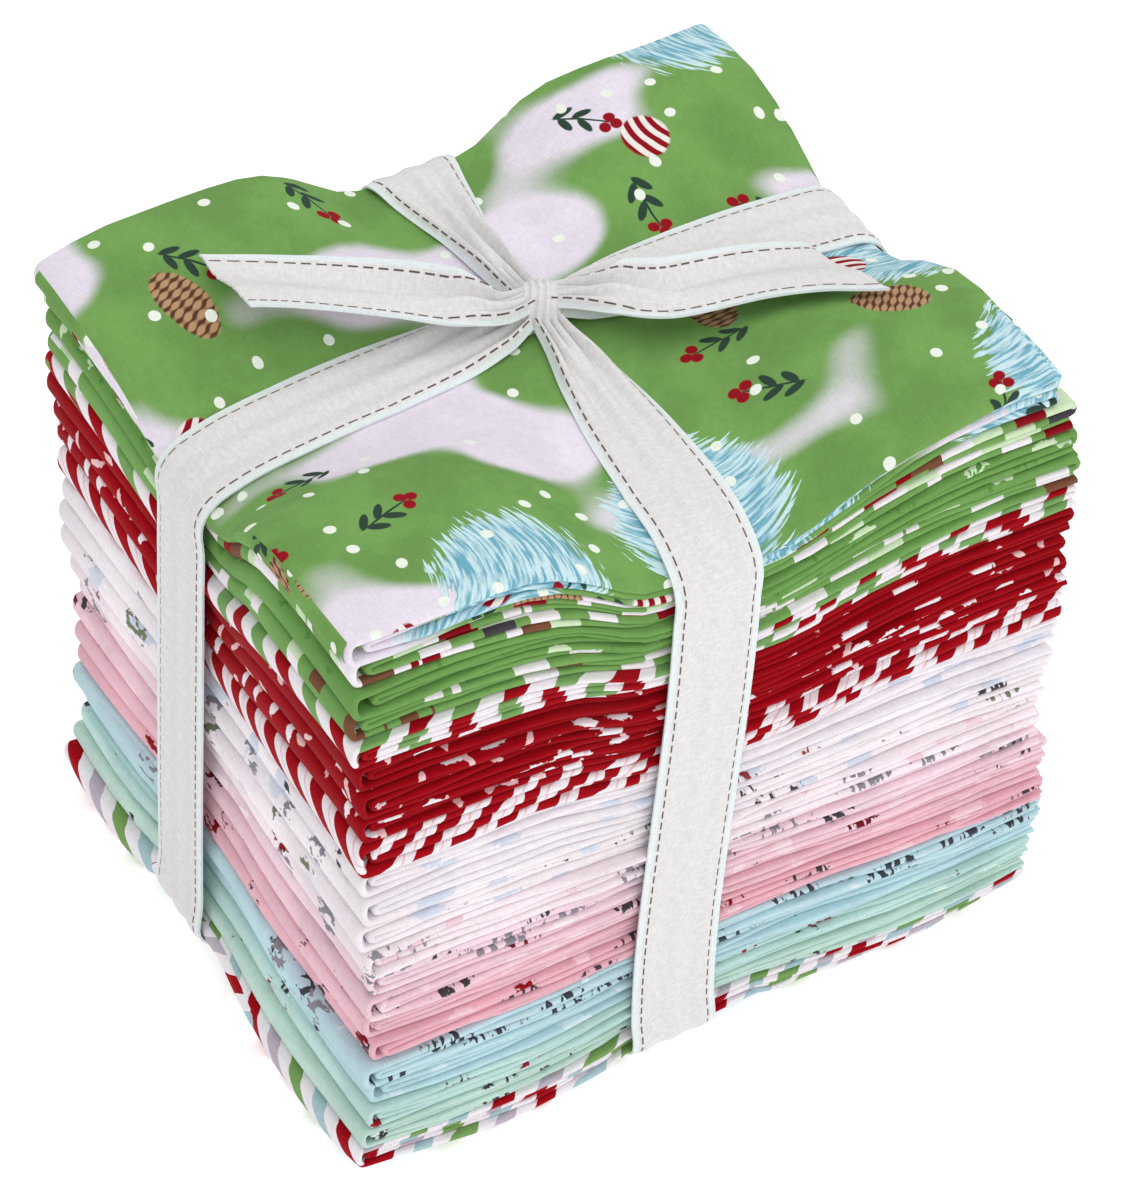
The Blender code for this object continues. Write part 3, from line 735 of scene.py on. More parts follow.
def tail_of_ribbon(name, table, cut, sizes):
    """One free end of the ribbon, cut at a slant."""
    width, thickness = sizes.width / MM, sizes.thickness / MM
    parts = np.linspace(0, table[-1].part, TAIL_ROWS)
    centres = np.stack([curve_through(table, axis, parts) for axis in "xyz"], 1)
    lengths = gone_along(centres)
    along = unit(np.gradient(centres, axis=0))
    sideways = facing(unit(np.cross(along, (0, 0, 1))), 1)
    outward = facing(np.cross(sideways, along), 2)
    turn = np.radians(curve_through(table, "turn", parts))[:, None]
    turned = sideways * np.cos(turn) - outward * np.sin(turn)
    outward = outward * np.cos(turn) + sideways * np.sin(turn)
    near = np.clip(1 - lengths / TAIL_PLEATS_FADE, 0, 1)
    across, up = pleated(curve_through(table, "width", parts), TAIL_PLEATS, near, width)
    s = np.linspace(-1, 1, RIBBON_COLUMNS)[None, :]
    up = up + curve_through(table, "cup", parts)[:, None] * s**2
    points = laid_strip(centres, turned, outward, across, up)
    to_end = np.clip((lengths - lengths[-1] + TAIL_CUT_REACH) / TAIL_CUT_REACH, 0, 1)
    slant = to_end[:, None] * -s * cut
    threads = (Vector((column * 1.7, cut, 2)) for column in range(RIBBON_COLUMNS))
    slant[-1] += [0.35 * noise.noise(thread) for thread in threads]
    points = points + along[:, None, :] * slant[:, :, None]
    return ribbon_piece(name, points, lengths, width, thickness)


def knot_of_ribbon(sizes):
    """The gathered stretch of ribbon that is wrapped round the rest where it is tied."""
    width, thickness = sizes.width / MM, sizes.thickness / MM
    angle = np.radians(np.linspace(*KNOT_ARC, KNOT_ROWS))
    half_y, half_z = KNOT_SIZE[1] / 2 - KNOT_NARROW, KNOT_SIZE[2] - KNOT_LOW
    base = knot_base() + 1
    away = np.array([math.sin(KNOT_TURN), math.cos(KNOT_TURN), 0])
    aside = np.array([math.cos(KNOT_TURN), -math.sin(KNOT_TURN), 0])
    outward = np.cos(angle)[:, None] * -away + np.sin(angle)[:, None] * np.array([0, 0, 1])
    centres = np.array([*KNOT_CENTRE, base]) - half_y * np.cos(angle)[:, None] * away
    centres = centres + 0.5 * np.sin(angle * 1.3)[:, None] * aside
    centres[:, 2] += half_z * np.sin(angle)
    sideways = np.tile(aside, (len(angle), 1))
    widths = WRAP_WIDTH - WRAP_WAIST * np.clip(np.sin(angle), 0, 1) ** 2
    across, up = tucked(widths, WRAP_CREASES, WRAP_CREASE_DEPTH, KNOT_COLUMNS, width)
    s = np.clip(across / (widths[:, None] / 2), -1.1, 1.1)
    up = up - WRAP_EDGE_FALL * s**4
    lengths = gone_along(centres)
    points = laid_strip(centres, sideways, outward, across, up)
    points[..., 2] = np.maximum(points[..., 2], knot_base() + 0.35 + 0.08 * np.abs(s))
    return ribbon_piece("ribbon_wrap", points, lengths, width, thickness * WRAP_THINNED)


def dressed(piece, material, slot, *nodes):
    """Gives a piece its material, and lets it ride and stand for its nodes."""
    piece.data.materials.clear()
    piece.data.materials.append(material)
    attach(piece, "root")
    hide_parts(*nodes)
    return piece


# ---- Materials ----------------------------------------------------------------------------------


class Wiring:
    """Short calls for adding and joining the nodes of one material or node group."""

    def __init__(self, tree):
        self.tree = tree

    def add(self, kind, inputs=(), **settings):
        node = self.tree.nodes.new(kind)
        for name, value in settings.items():
            setattr(node, name, value)
        for name, value in dict(inputs).items():
            self.feed(value, node.inputs[name])
        return node

    def feed(self, value, socket):
        if isinstance(value, bpy.types.NodeSocket):
            self.tree.links.new(value, socket)
        elif value is not None:
            socket.default_value = value

    def fed(self, node, values, out=0):
        for value, socket in zip(values, node.inputs):
            self.feed(value, socket)
        return node.outputs[out]

    def math(self, operation, *values):
        return self.fed(self.add("ShaderNodeMath", operation=operation), values)

    def vector(self, operation, *values, out=0):
        return self.fed(self.add("ShaderNodeVectorMath", operation=operation), values, out)

    def plus(self, first, second):
        return self.math("ADD", first, second)

    def minus(self, first, second):
        return self.math("SUBTRACT", first, second)

    def times(self, first, second):
        return self.math("MULTIPLY", first, second)

    def over(self, first, second):
        return self.math("DIVIDE", first, second)

    def scaled(self, value, scale, more):
        """The value times the scale, plus more."""
        return self.math("MULTIPLY_ADD", value, scale, more)

    def size(self, value):
        return self.math("ABSOLUTE", value)

    def sine(self, value, scale):
        return self.math("SINE", self.times(value, scale))

    def length(self, vector):
        return self.vector("LENGTH", vector, out=1)

    def mix(self, factor, first, second, blend="MIX"):
        node = self.add("ShaderNodeMix", data_type="RGBA", blend_type=blend)
        self.feed(factor, node.inputs["Factor"])
        for value, socket in ((first, node.inputs[6]), (second, node.inputs[7])):
            self.feed((*value, 1) if isinstance(value, tuple) else value, socket)
        return node.outputs[2]

    def step(self, value, low, high):
        """0 below low, 1 above high, smooth between."""
        inputs = {"Value": value, "From Min": low, "From Max": high}
        return self.add("ShaderNodeMapRange", inputs, interpolation_type="SMOOTHSTEP").outputs[0]

    def within(self, value, near, far):
        """1 within near, 0 beyond far, smooth between."""
        return self.minus(1.0, self.step(value, near, far))

    def split(self, vector):
        return self.add("ShaderNodeSeparateXYZ", {"Vector": vector}).outputs[:]

    def join(self, x, y, z=0.0):
        return self.add("ShaderNodeCombineXYZ", {"X": x, "Y": y, "Z": z}).outputs[0]

    def turned(self, vector, angle):
        inputs = {"Vector": vector, "Angle": angle}
        return self.add("ShaderNodeVectorRotate", inputs, rotation_type="Z_AXIS").outputs[0]

    def noise(self, vector, detail, scale=1.0):
        inputs = {"Vector": vector, "Scale": scale, "Detail": detail}
        return self.add("ShaderNodeTexNoise", inputs, noise_dimensions="2D").outputs[0]

    def dice(self, vector, dimensions="2D"):
        """A random Value and a random Color for every place."""
        kind = "ShaderNodeTexWhiteNoise"
        return self.add(kind, {"Vector": vector}, noise_dimensions=dimensions).outputs

    def group(self, name, **inputs):
        return self.add("ShaderNodeGroup", inputs, node_tree=GROUPS[name]).outputs


def linear(*channels):
    """Screen values of 0 to 255 as linear light."""
    values = [channel / 255 for channel in channels]
    return tuple(v / 12.92 if v <= 0.04045 else ((v + 0.055) / 1.055) ** 2.4 for v in values)


def new_group(name, inputs, outputs):
    """A shader node group with its inputs' defaults and its outputs' kinds. A number is the default
    of a float, and a tuple or nothing that of a vector."""
    tree = bpy.data.node_groups.new(name, "ShaderNodeTree")
    for title, value in inputs.items():
        kind = "NodeSocketFloat" if isinstance(value, float) else "NodeSocketVector"
        socket = tree.interface.new_socket(title, in_out="INPUT", socket_type=kind)
        if value is not None:
            socket.default_value = value
    for title, kind in outputs.items():
        tree.interface.new_socket(title, in_out="OUTPUT", socket_type="NodeSocket" + kind)
    start = tree.nodes.new("NodeGroupInput")
    end = tree.nodes.new("NodeGroupOutput")
    return tree, Wiring(tree), start.outputs, end.inputs


# How much the weave's ribs and slubs lighten the cloth over its darkest, and raise it. The ribs'
# share is painted light on the threads' crowns and painted shade between them; the slubs' share is
# the yarn's uneven tone.
RIB_PAINTED_SHADE = 0.06
SLUB_SHADE = 0.17
DARKEST = 0.75
SLUB_RISE = 0.6


def weave_group():
    """Plain weave: two sets of threads that pass over and under, with slubs and soft creases."""
    tree, wire, given, made = new_group(
        "Plain weave", {"Place": None, "Thread": 0.34}, {"Height": "Float", "Shade": "Float"}
    )
    place = wire.vector("DIVIDE", given["Place"], wire.join(given["Thread"], given["Thread"], 1))
    x, y, _ = wire.split(place)
    turn_x, turn_y = wire.sine(x, math.pi), wire.sine(y, math.pi)
    knit = wire.times(turn_x, turn_y)
    ribs = wire.plus(wire.size(turn_x), wire.size(turn_y))
    slub, weft = (
        wire.noise(wire.vector("MULTIPLY", place, stretch), 2, 0.8)
        for stretch in ((1, 0.2, 0), (0.2, 1, 0))
    )
    uneven = wire.plus(slub, weft)
    height = wire.scaled(knit, 0.5, wire.times(ribs, 0.5))
    wire.feed(wire.scaled(uneven, SLUB_RISE, height), made["Height"])
    # The Shade output: painted shade between the threads from the ribs, with the yarn's uneven tone
    # from the slubs.
    shade = wire.scaled(ribs, RIB_PAINTED_SHADE, wire.times(uneven, SLUB_SHADE))
    wire.feed(wire.plus(shade, DARKEST), made["Shade"])
    return tree


def marks_group():
    """Small oval marks strewn over the cloth, one at most to a square cell."""
    sizes = {"Cell": 10.0, "Long": 2.0, "Wide": 1.0, "Share": 0.6}
    tree, wire, given, made = new_group(
        "Strewn marks",
        {"Place": None, **sizes, "Turn": 3.14, "Seed": 0.0, "Ragged": 0.0},
        {"Mask": "Float", "Local": "Vector", "Shown": "Float"},
    )
    cells = wire.vector("DIVIDE", given["Place"], wire.join(given["Cell"], given["Cell"], 1))
    cells = wire.vector("ADD", cells, wire.join(given["Seed"], given["Seed"]))
    corner = wire.vector("FLOOR", cells)
    spot = wire.dice(corner)
    shown = wire.dice(wire.vector("ADD", corner, (31.7, 11.3, 0)))["Value"]
    shown = wire.math("LESS_THAN", shown, given["Share"])
    room = wire.minus(1.0, wire.over(given["Long"], given["Cell"]))
    aside = wire.vector("SUBTRACT", spot["Color"], (0.5, 0.5, 0.5))
    scatter = wire.add("ShaderNodeVectorMath", {0: aside, "Scale": room}, operation="SCALE")
    local = wire.vector("SUBTRACT", wire.vector("FRACTION", cells), (0.5, 0.5, 0))
    local = wire.vector("SUBTRACT", local, scatter.outputs[0])
    local = wire.vector("MULTIPLY", local, wire.join(given["Cell"], given["Cell"]))
    local = wire.turned(local, wire.times(wire.minus(spot["Value"], 0.5), given["Turn"]))
    half = wire.join(wire.times(given["Long"], 0.5), wire.times(given["Wide"], 0.5), 1)
    rough = wire.minus(wire.noise(given["Place"], 2.0, 0.9), 0.5)
    away = wire.length(wire.vector("DIVIDE", local, half))
    mask = wire.within(wire.scaled(rough, given["Ragged"], away), 0.94, 1.06)
    wire.feed(wire.times(mask, shown), made["Mask"])
    wire.feed(local, made["Local"])
    wire.feed(shown, made["Shown"])
    return tree


def oval_group():
    """One oval, by its middle, its half sizes and its turn."""
    tree, wire, given, made = new_group(
        "Oval", {"Place": None, "Centre": None, "Half": (1, 1, 1), "Turn": 0.0}, {"Mask": "Float"}
    )
    local = wire.vector("SUBTRACT", given["Place"], given["Centre"])
    local = wire.vector("DIVIDE", wire.turned(local, given["Turn"]), given["Half"])
    wire.feed(wire.within(wire.length(local), 0.86, 1.1), made["Mask"])
    return tree


def blocks_group():
    """Rows of small blocks of uneven length, each with a random number of its own."""
    tree, wire, given, made = new_group(
        "Blocks", {"Place": None, "Long": 5.0, "Row": 3.0, "Seed": 0.0}, {"Pick": "Float"}
    )
    x, y, _ = wire.split(given["Place"])
    row = wire.math("FLOOR", wire.over(y, given["Row"]))
    start = wire.times(wire.dice(wire.join(row, given["Seed"]))["Value"], 9.0)
    stretch = wire.scaled(wire.sine(x, 0.9), 0.25, wire.over(x, given["Long"]))
    cell = wire.math("FLOOR", wire.plus(stretch, start))
    wire.feed(wire.dice(wire.join(cell, row, given["Seed"]), "3D")["Value"], made["Pick"])
    return tree


GROUPS = {}


def make_groups():
    if not GROUPS:
        GROUPS["weave"] = weave_group()
        GROUPS["marks"] = marks_group()
        GROUPS["oval"] = oval_group()
        GROUPS["blocks"] = blocks_group()


def soft_noise(wire, place, size, detail, stretch=(1, 1, 1)):
    """Smooth noise of about 0.3 to 0.7 with features of a size in millimetres."""
    scale = tuple(part / size for part in stretch)
    return wire.noise(wire.vector("MULTIPLY", place, scale), detail)


def patches(wire, place, size, stretch=(1, 1, 1)):
    """Soft patches between 0 and 1, of a size in millimetres."""
    return wire.step(soft_noise(wire, place, size, 3.0, stretch), 0.3, 0.7)


def flat_place(wire):
    """The cloth's own flat place, in millimetres."""
    uv = wire.add("ShaderNodeUVMap", uv_map="Flat cloth").outputs[0]
    return wire.vector("MULTIPLY", uv, (1000, 1000, 0))


CLOTH_SPECULAR = 0.09
CLOTH_SHEEN = 0.03
CLOTH_SHEEN_ROUGHNESS = 0.5
THREAD_RELIEF = 0.06 * MM


def cloth_material(name, paint, roughness=0.92, thread=0.34, bump=0.25):
    """A woven material. paint(wire, place) gives its colour."""
    material = bpy.data.materials.new(name)
    material.use_nodes = True
    wire = Wiring(material.node_tree)
    shader = material.node_tree.nodes["Principled BSDF"]
    place = flat_place(wire)
    weave = wire.group("weave", Place=place, Thread=thread)
    # The weave's Shade darkens the print: painted shade between the threads, with the yarn's uneven
    # tone.
    shade = wire.join(weave["Shade"], weave["Shade"], weave["Shade"])
    wire.feed(wire.mix(1.0, paint(wire, place), shade, "MULTIPLY"), shader.inputs["Base Color"])
    shader.inputs["Roughness"].default_value = roughness
    shader.inputs["Specular IOR Level"].default_value = CLOTH_SPECULAR
    shader.inputs["Sheen Weight"].default_value = CLOTH_SHEEN
    shader.inputs["Sheen Roughness"].default_value = CLOTH_SHEEN_ROUGHNESS
    threads = {"Strength": bump, "Distance": THREAD_RELIEF, "Height": weave["Height"]}
    wire.feed(wire.add("ShaderNodeBump", threads).outputs[0], shader.inputs["Normal"])
    return material


# Across the ribbon from its middle, in millimetres: where its whiter edge starts and is whole, and
# where the stitches run and fade. Then the stitches' repeat, and half a stitch as a part of it.
WHITE_EDGE = (7.35, 7.75)
STITCH_LINE = 6.95
STITCH_HALF = (0.07, 0.22)
STITCH_REPEAT = 2.6
STITCH_SHARE = (0.31, 0.36)
TAPE_SHADES = (0.96, 1.03)


def ribbon_material(sizes):
    """Woven cotton tape with whiter edges and a dark running stitch along both."""

    def paint(wire, place):
        along, across, _ = wire.split(place)
        away = wire.size(across)
        line = wire.within(wire.size(wire.minus(away, STITCH_LINE)), *STITCH_HALF)
        beat = wire.math("FRACT", wire.over(along, STITCH_REPEAT))
        dash = wire.within(wire.size(wire.minus(beat, 0.5)), *STITCH_SHARE)
        tape = [tuple(part * share for part in sizes.colour) for share in TAPE_SHADES]
        tape = wire.mix(patches(wire, place, 0.8, (1, 0.5, 1)), *tape)
        ground = wire.mix(wire.step(away, *WHITE_EDGE), tape, linear(230, 237, 238))
        return wire.mix(wire.times(line, dash), ground, tuple(sizes.stitch_colour))

    return cloth_material("Ribbon cotton", paint, roughness=0.82, thread=0.32, bump=0.45)


def the_ribbon(sizes):
    """The ribbon's material, made once."""
    return bpy.data.materials.get("Ribbon cotton") or ribbon_material(sizes)


def strewn(wire, place, cell, long, wide, share, turn, seed, ragged=0.0):
    """Marks on a share of the square cells, all in millimetres but the share, turn and seed."""
    sizes = {"Cell": cell, "Long": long, "Wide": wide, "Share": share}
    return wire.group("marks", Place=place, **sizes, Turn=turn, Seed=seed, Ragged=ragged)


def oval(wire, place, x, y, long, wide, turn):
    half = (long, wide, 1)
    return wire.group("oval", Place=place, Centre=(x, y, 0), Half=half, Turn=turn)["Mask"]


def mottled(wire, place, ground, depth=0.07, size=22):
    """A ground colour that is a little lighter and darker from place to place."""
    base = linear(*ground)
    shades = (tuple(min(1, value * part) for value in base) for part in (1 - depth, 1 + depth))
    return wire.mix(patches(wire, place, size), *shades)


# A mark whose three channels add up to less than this is dark.
DARK_MARK = 480


def marked(ground, *layers):
    """A ground colour with layers of strewn marks: (colour, cell, long, wide, share, turn, seed).
    Dark marks are broken up into fine strokes."""

    def paint(wire, place):
        colour = mottled(wire, place, ground)
        for number, (mark, *layer) in enumerate(layers):
            mask = strewn(wire, place, *layer, ragged=1.2)["Mask"]
            if sum(mark) < DARK_MARK:
                aside = wire.vector("ADD", place, (37 * number, layer[-1], 0))
                strokes = soft_noise(wire, aside, 1.5, 2.0, (1, 0.4, 1))
                mask = wire.times(mask, wire.step(strokes, 0.5, 0.54))
            colour = wire.mix(mask, colour, linear(*mark))
        return colour

    return paint


def blocked(ground, long, row, seed, *shares):
    """A ground colour with rows of small blocks: (share up to, colour)."""

    def paint(wire, place):
        pick = wire.group("blocks", Place=place, Long=long, Row=row, Seed=seed)["Pick"]
        colour = mottled(wire, place, ground)
        for share, block in reversed(shares):
            colour = wire.mix(wire.math("LESS_THAN", pick, share), colour, linear(*block))
        return colour

    return paint


STRIPE_SLANT = -1.0
# How the stripes stray: (length of a wave, how far), in millimetres.
STRIPE_STRAYS = ((60, 16.0), (8, 5.0))


def striped(period, *stops):
    """Slanting stripes: stops are (start of the stripe as a part of the period, colour)."""

    def paint(wire, place):
        x, y, _ = wire.split(place)
        across = wire.scaled(x, STRIPE_SLANT, y)
        for size, stray in STRIPE_STRAYS:
            across = wire.scaled(soft_noise(wire, place, size, 1.0, (1, 0.05, 1)), stray, across)
        phase = wire.math("FRACT", wire.over(across, period))
        ramp = wire.add("ShaderNodeValToRGB", {"Fac": phase})
        ramp.color_ramp.interpolation = "CONSTANT"
        points = ramp.color_ramp.elements
        while len(points) < len(stops):
            points.new(0.5)
        for point, (start, colour) in zip(points, stops):
            point.position = start
            point.color = (*linear(*colour), 1)
        return ramp.outputs[0]

    return paint


# Parts of one sprig, in millimetres from its middle, with their half sizes.
Leaf = namedtuple("Leaf", "x y long wide turn")
LEAVES = (
    Leaf(0, 0, 6.2, 0.24, 0),
    Leaf(-4.2, 1.3, 2.1, 0.8, -0.7),
    Leaf(-3.2, -1.3, 2.1, 0.8, 0.7),
    Leaf(-0.6, 1.4, 2.1, 0.8, -0.7),
    Leaf(0.6, -1.4, 2.1, 0.8, 0.7),
)
BERRIES = (
    Leaf(4.6, 1.2, 1.15, 1.15, 0),
    Leaf(6.2, 0.1, 1.15, 1.15, 0),
    Leaf(4.4, -1.3, 1.15, 1.15, 0),
)
ANY_TURN = 6.28


def sprigs(wire, place, colour, cell, share, seed):
    """Strews sprigs with dark leaves and red berries over a colour."""
    spot = strewn(wire, place, cell, 16, 1, share, ANY_TURN, seed)
    for parts, tint in ((LEAVES, (48, 70, 58)), (BERRIES, (150, 16, 30))):
        for part in parts:
            mask = wire.times(oval(wire, spot["Local"], *part), spot["Shown"])
            colour = wire.mix(mask, colour, linear(*tint))
    return colour


def cones(wire, place, colour, cell, share, seed):
    """Strews brown cones with rows of pale scales over a colour."""
    spot = strewn(wire, place, cell, 14, 8.4, share, ANY_TURN, seed)
    x, y, _ = wire.split(spot["Local"])
    row = wire.sine(x, 2.4)
    offset = wire.times(wire.math("SIGN", row), 0.8)
    scale = wire.math("SINE", wire.scaled(y, 2.2, offset))
    pattern = wire.step(wire.plus(wire.size(row), wire.times(scale, 0.35)), 0.25, 0.9)
    body = wire.mix(pattern, linear(92, 58, 42), linear(186, 148, 112))
    return wire.mix(spot["Mask"], colour, body)


def baubles(wire, place, colour, cell, share, seed):
    """Strews striped round baubles over a colour."""
    spot = strewn(wire, place, cell, 9, 9, share, ANY_TURN, seed)
    x, y, _ = wire.split(spot["Local"])
    bend = wire.times(wire.times(y, y), 0.06)
    bars = wire.step(wire.sine(wire.plus(x, bend), 2.6), -0.12, 0.12)
    bauble = wire.mix(bars, linear(146, 14, 30), linear(240, 232, 226))
    return wire.mix(spot["Mask"], colour, bauble)


def tufts(wire, place, colour, cell, share, seed):
    """Strews big round tufts of pale-blue brush strokes over a colour."""
    spot = strewn(wire, place, cell, 36, 36, share, ANY_TURN, seed)
    x, y, _ = wire.split(spot["Local"])
    bend = wire.scaled(wire.times(x, x), 0.028, y)
    strokes = wire.noise(wire.join(wire.times(x, 0.16), wire.times(bend, 1.25)), 3.0)
    room = wire.minus(wire.scaled(strokes, 13.0, 9.0), wire.length(spot["Local"]))
    mask = wire.times(wire.step(room, 0.0, 0.7), spot["Shown"])
    tuft = wire.mix(wire.step(strokes, 0.36, 0.62), linear(112, 172, 192), linear(204, 232, 238))
    return wire.mix(mask, colour, tuft)


# What is strewn over the winter cloth, from the lowest up: the kind, its cell in millimetres, the
# share of cells that have one, and a seed.
WINTER_MOTIFS = (
    (tufts, 54, 0.7, 5.3),
    (cones, 41, 0.42, 11.7),
    (baubles, 33, 0.4, 23.1),
    (sprigs, 27, 0.6, 8.4),
)
# Falling snow: cell, long, wide, share, turn and seed. Then where the drifts' noise starts.
FLAKES = (11, 2.3, 2.0, 0.62, 3.1, 3.6)
DRIFT_AT = (12, 31, 0)


def winter(ground):
    """Soft snow drifts, frosted tufts, sprigs, cones, baubles and falling snow."""

    def paint(wire, place):
        colour = mottled(wire, place, ground, 0.1, 14)
        drift = soft_noise(wire, wire.vector("ADD", place, DRIFT_AT), 46, 1.0, (1, 1.5, 1))
        snow = mottled(wire, place, (232, 224, 236), 0.04, 12)
        colour = wire.mix(wire.step(drift, 0.54, 0.62), colour, snow)
        for motif, *layer in WINTER_MOTIFS:
            colour = motif(wire, place, colour, *layer)
        return wire.mix(strewn(wire, place, *FLAKES)["Mask"], colour, linear(238, 244, 232))

    return paint


PALE_PINK = (238, 196, 198)
DARK_RED = (140, 12, 26)
INK = (70, 64, 72)
GREY_LINE = (142, 138, 148)
RED = (162, 5, 22)
WHITE = (241, 235, 240)
COOL = (214, 220, 234)
GREEN = (116, 160, 86)
PALE_GREEN = (206, 228, 190)
BROWN = (122, 78, 56)

PAINTS = {
    "01_green_winter": winter(GREEN),
    "02_green_blocks": blocked(
        *((118, 163, 90), 5.2, 3.2, 4),
        *((0.17, WHITE), (0.24, BROWN), (0.31, DARK_RED), (0.45, PALE_GREEN), (0.48, INK)),
    ),
    "03_green_tonal": marked(
        (112, 158, 84),
        (PALE_GREEN, 11, 5, 2, 0.35, 0.3, 2),
        ((90, 142, 68), 8, 5, 2, 0.5, 3, 5),
    ),
    "04_green_dashes": blocked(
        (119, 165, 91), 6.5, 4, 9, (0.12, WHITE), (0.2, PALE_GREEN), (0.23, BROWN)
    ),
    "05_holly_stripe": striped(18.3, (0, RED), (0.25, WHITE), (0.5, (122, 164, 98)), (0.75, WHITE)),
    "06_red_pills": marked(
        (152, 1, 17),
        (WHITE, 9, 4.5, 2.2, 0.36, 0.3, 41),
        (PALE_PINK, 6, 2.6, 1.4, 0.4, 3, 1),
    ),
    "07_red_arcs": marked(
        (154, 1, 17),
        (WHITE, 8, 5, 2, 0.4, 0.3, 44),
        (PALE_PINK, 7, 4, 1.2, 0.5, 3, 4),
    ),
    "08_red_dots": marked(
        (156, 1, 18),
        (WHITE, 6.5, 4, 1.8, 0.5, 0.3, 46),
        (PALE_PINK, 5, 2.6, 1.4, 0.5, 3, 6),
    ),
    "09_candy_stripe": striped(8.6, (0, RED), (0.5, WHITE), (0.68, (236, 196, 200)), (0.74, WHITE)),
    "10_white_script": marked(
        WHITE,
        (COOL, 15, 8, 4, 0.5, 3, 61),
        (GREY_LINE, 16, 13, 5, 0.44, 0.15, 8),
        (INK, 19, 11, 3, 0.3, 0.15, 33),
    ),
    "11_white_marks": marked(
        WHITE,
        (COOL, 17, 9, 4, 0.5, 3, 62),
        (GREY_LINE, 14, 10, 5, 0.41, 0.2, 10),
        ((150, 60, 66), 18, 5, 4, 0.26, 0.3, 13),
    ),
    "12_white_sprig": marked(
        (244, 236, 241),
        (COOL, 15, 8, 4, 0.4, 3, 63),
        ((120, 130, 106), 14, 9, 6, 0.37, 0.3, 12),
        (INK, 20, 9, 4, 0.3, 0.2, 71),
    ),
    "13_white_rose": marked(
        (245, 232, 238),
        ((238, 208, 218), 13, 7, 3, 0.5, 3, 64),
        (GREY_LINE, 15, 11, 6, 0.37, 0.2, 72),
        (DARK_RED, 19, 7, 5, 0.3, 0.2, 14),
    ),
    "14_pink_pale": marked(
        (241, 216, 226),
        ((246, 232, 236), 12, 7, 3, 0.4, 3, 65),
        (GREY_LINE, 15, 12, 6, 0.37, 0.2, 16),
        (INK, 18, 7, 4, 0.3, 0.3, 74),
    ),
    "15_pink_marks": marked(
        (237, 202, 213),
        ((244, 220, 226), 12, 7, 3, 0.4, 3, 66),
        ((110, 30, 42), 14, 7, 5, 0.33, 0.2, 18),
        (INK, 13, 9, 5, 0.37, 0.2, 75),
    ),
    "16_pink_dusty": marked(
        (234, 190, 202),
        ((242, 208, 216), 12, 7, 3, 0.4, 3, 67),
        (INK, 16, 9, 5, 0.37, 0.2, 20),
        ((150, 96, 106), 14, 9, 5, 0.37, 0.2, 76),
    ),
    "17_pink_salmon": marked(
        (232, 180, 192),
        ((240, 204, 212), 12, 7, 3, 0.4, 3, 68),
        (DARK_RED, 15, 6, 5, 0.3, 0.2, 22),
        (INK, 15, 9, 5, 0.37, 0.2, 77),
    ),
    "18_aqua_marks": marked(
        (192, 220, 228),
        ((222, 236, 241), 13, 8, 3, 0.45, 3, 69),
        ((66, 68, 76), 12, 9, 5, 0.44, 0.2, 24),
        (GREY_LINE, 14, 11, 6, 0.37, 0.2, 78),
    ),
    "19_aqua_plain": marked(
        (188, 219, 226),
        ((212, 232, 237), 13, 8, 3, 0.4, 3, 70),
        (INK, 14, 9, 5, 0.37, 0.2, 26),
    ),
    "20_mint_figures": marked(
        (191, 221, 216),
        ((216, 236, 230), 13, 8, 3, 0.4, 3, 71),
        (INK, 13, 9, 6, 0.37, 0.2, 28),
        ((150, 30, 40), 18, 6, 4, 0.3, 0.2, 79),
    ),
    "21_mint_plain": marked(
        (193, 220, 209),
        ((220, 235, 228), 13, 8, 3, 0.4, 3, 73),
        (INK, 18, 9, 5, 0.3, 0.2, 30),
    ),
    "22_block_stripe": striped(
        36,
        *((0, WHITE), (0.125, (122, 160, 92)), (0.25, WHITE), (0.375, (190, 178, 190))),
        *((0.5, WHITE), (0.625, RED), (0.75, WHITE), (0.875, (170, 198, 204))),
    ),
}


# ---- Making the pieces --------------------------------------------------------------------------


class BUNDLE_OT_fat_quarters(bpy.types.Operator):
    """Fold every fat quarter and lay it in the stack"""

    bl_idname = "bundle.fat_quarters"
    bl_label = "Fat quarters"

    def execute(self, context):
        make_groups()
        sizes = context.scene.bundle_cloth
        base = STACK_HEIGHT
        for number, packet in enumerate(PACKETS):
            base -= packet.height
            points, flat = fat_quarter_points(packet, number + 1, base, sizes)
            CLOTH_POINTS.append(points.reshape(-1, 3) / MM - SHIFT)
            piece = grid_sheet("sheet_" + packet.name, points, flat)
            thicken(piece, sizes.thickness)
            title = "Cotton " + packet.name[3:].replace("_", " ")
            material = cloth_material(title, PAINTS[packet.name])
            dressed(piece, material, "cotton_" + packet.name, "fat_quarter_" + packet.name)
        return {"FINISHED"}


class BUNDLE_OT_ribbon_bands(bpy.types.Operator):
    """Pull the ribbon round the stack both ways"""

    bl_idname = "bundle.ribbon_bands"
    bl_label = "Ribbon bands"

    def execute(self, context):
        if not CLOTH_POINTS:
            raise RuntimeError("The fat quarters are folded before the ribbon goes round them")
        sizes = context.scene.bundle_ribbon
        for name, along_y, near, far, drift in (
            ("crossways", True, FRONT_GATHER, BACK_GATHER, CROSSWAYS_DRIFT),
            ("lengthways", False, SIDE_GATHER, SIDE_GATHER, LENGTHWAYS_DRIFT),
        ):
            piece, flat = band_of_ribbon("band_" + name, along_y, near, far, drift, sizes)
            dressed(piece, the_ribbon(sizes), "ribbon_cotton", "ribbon_" + name)
        return {"FINISHED"}


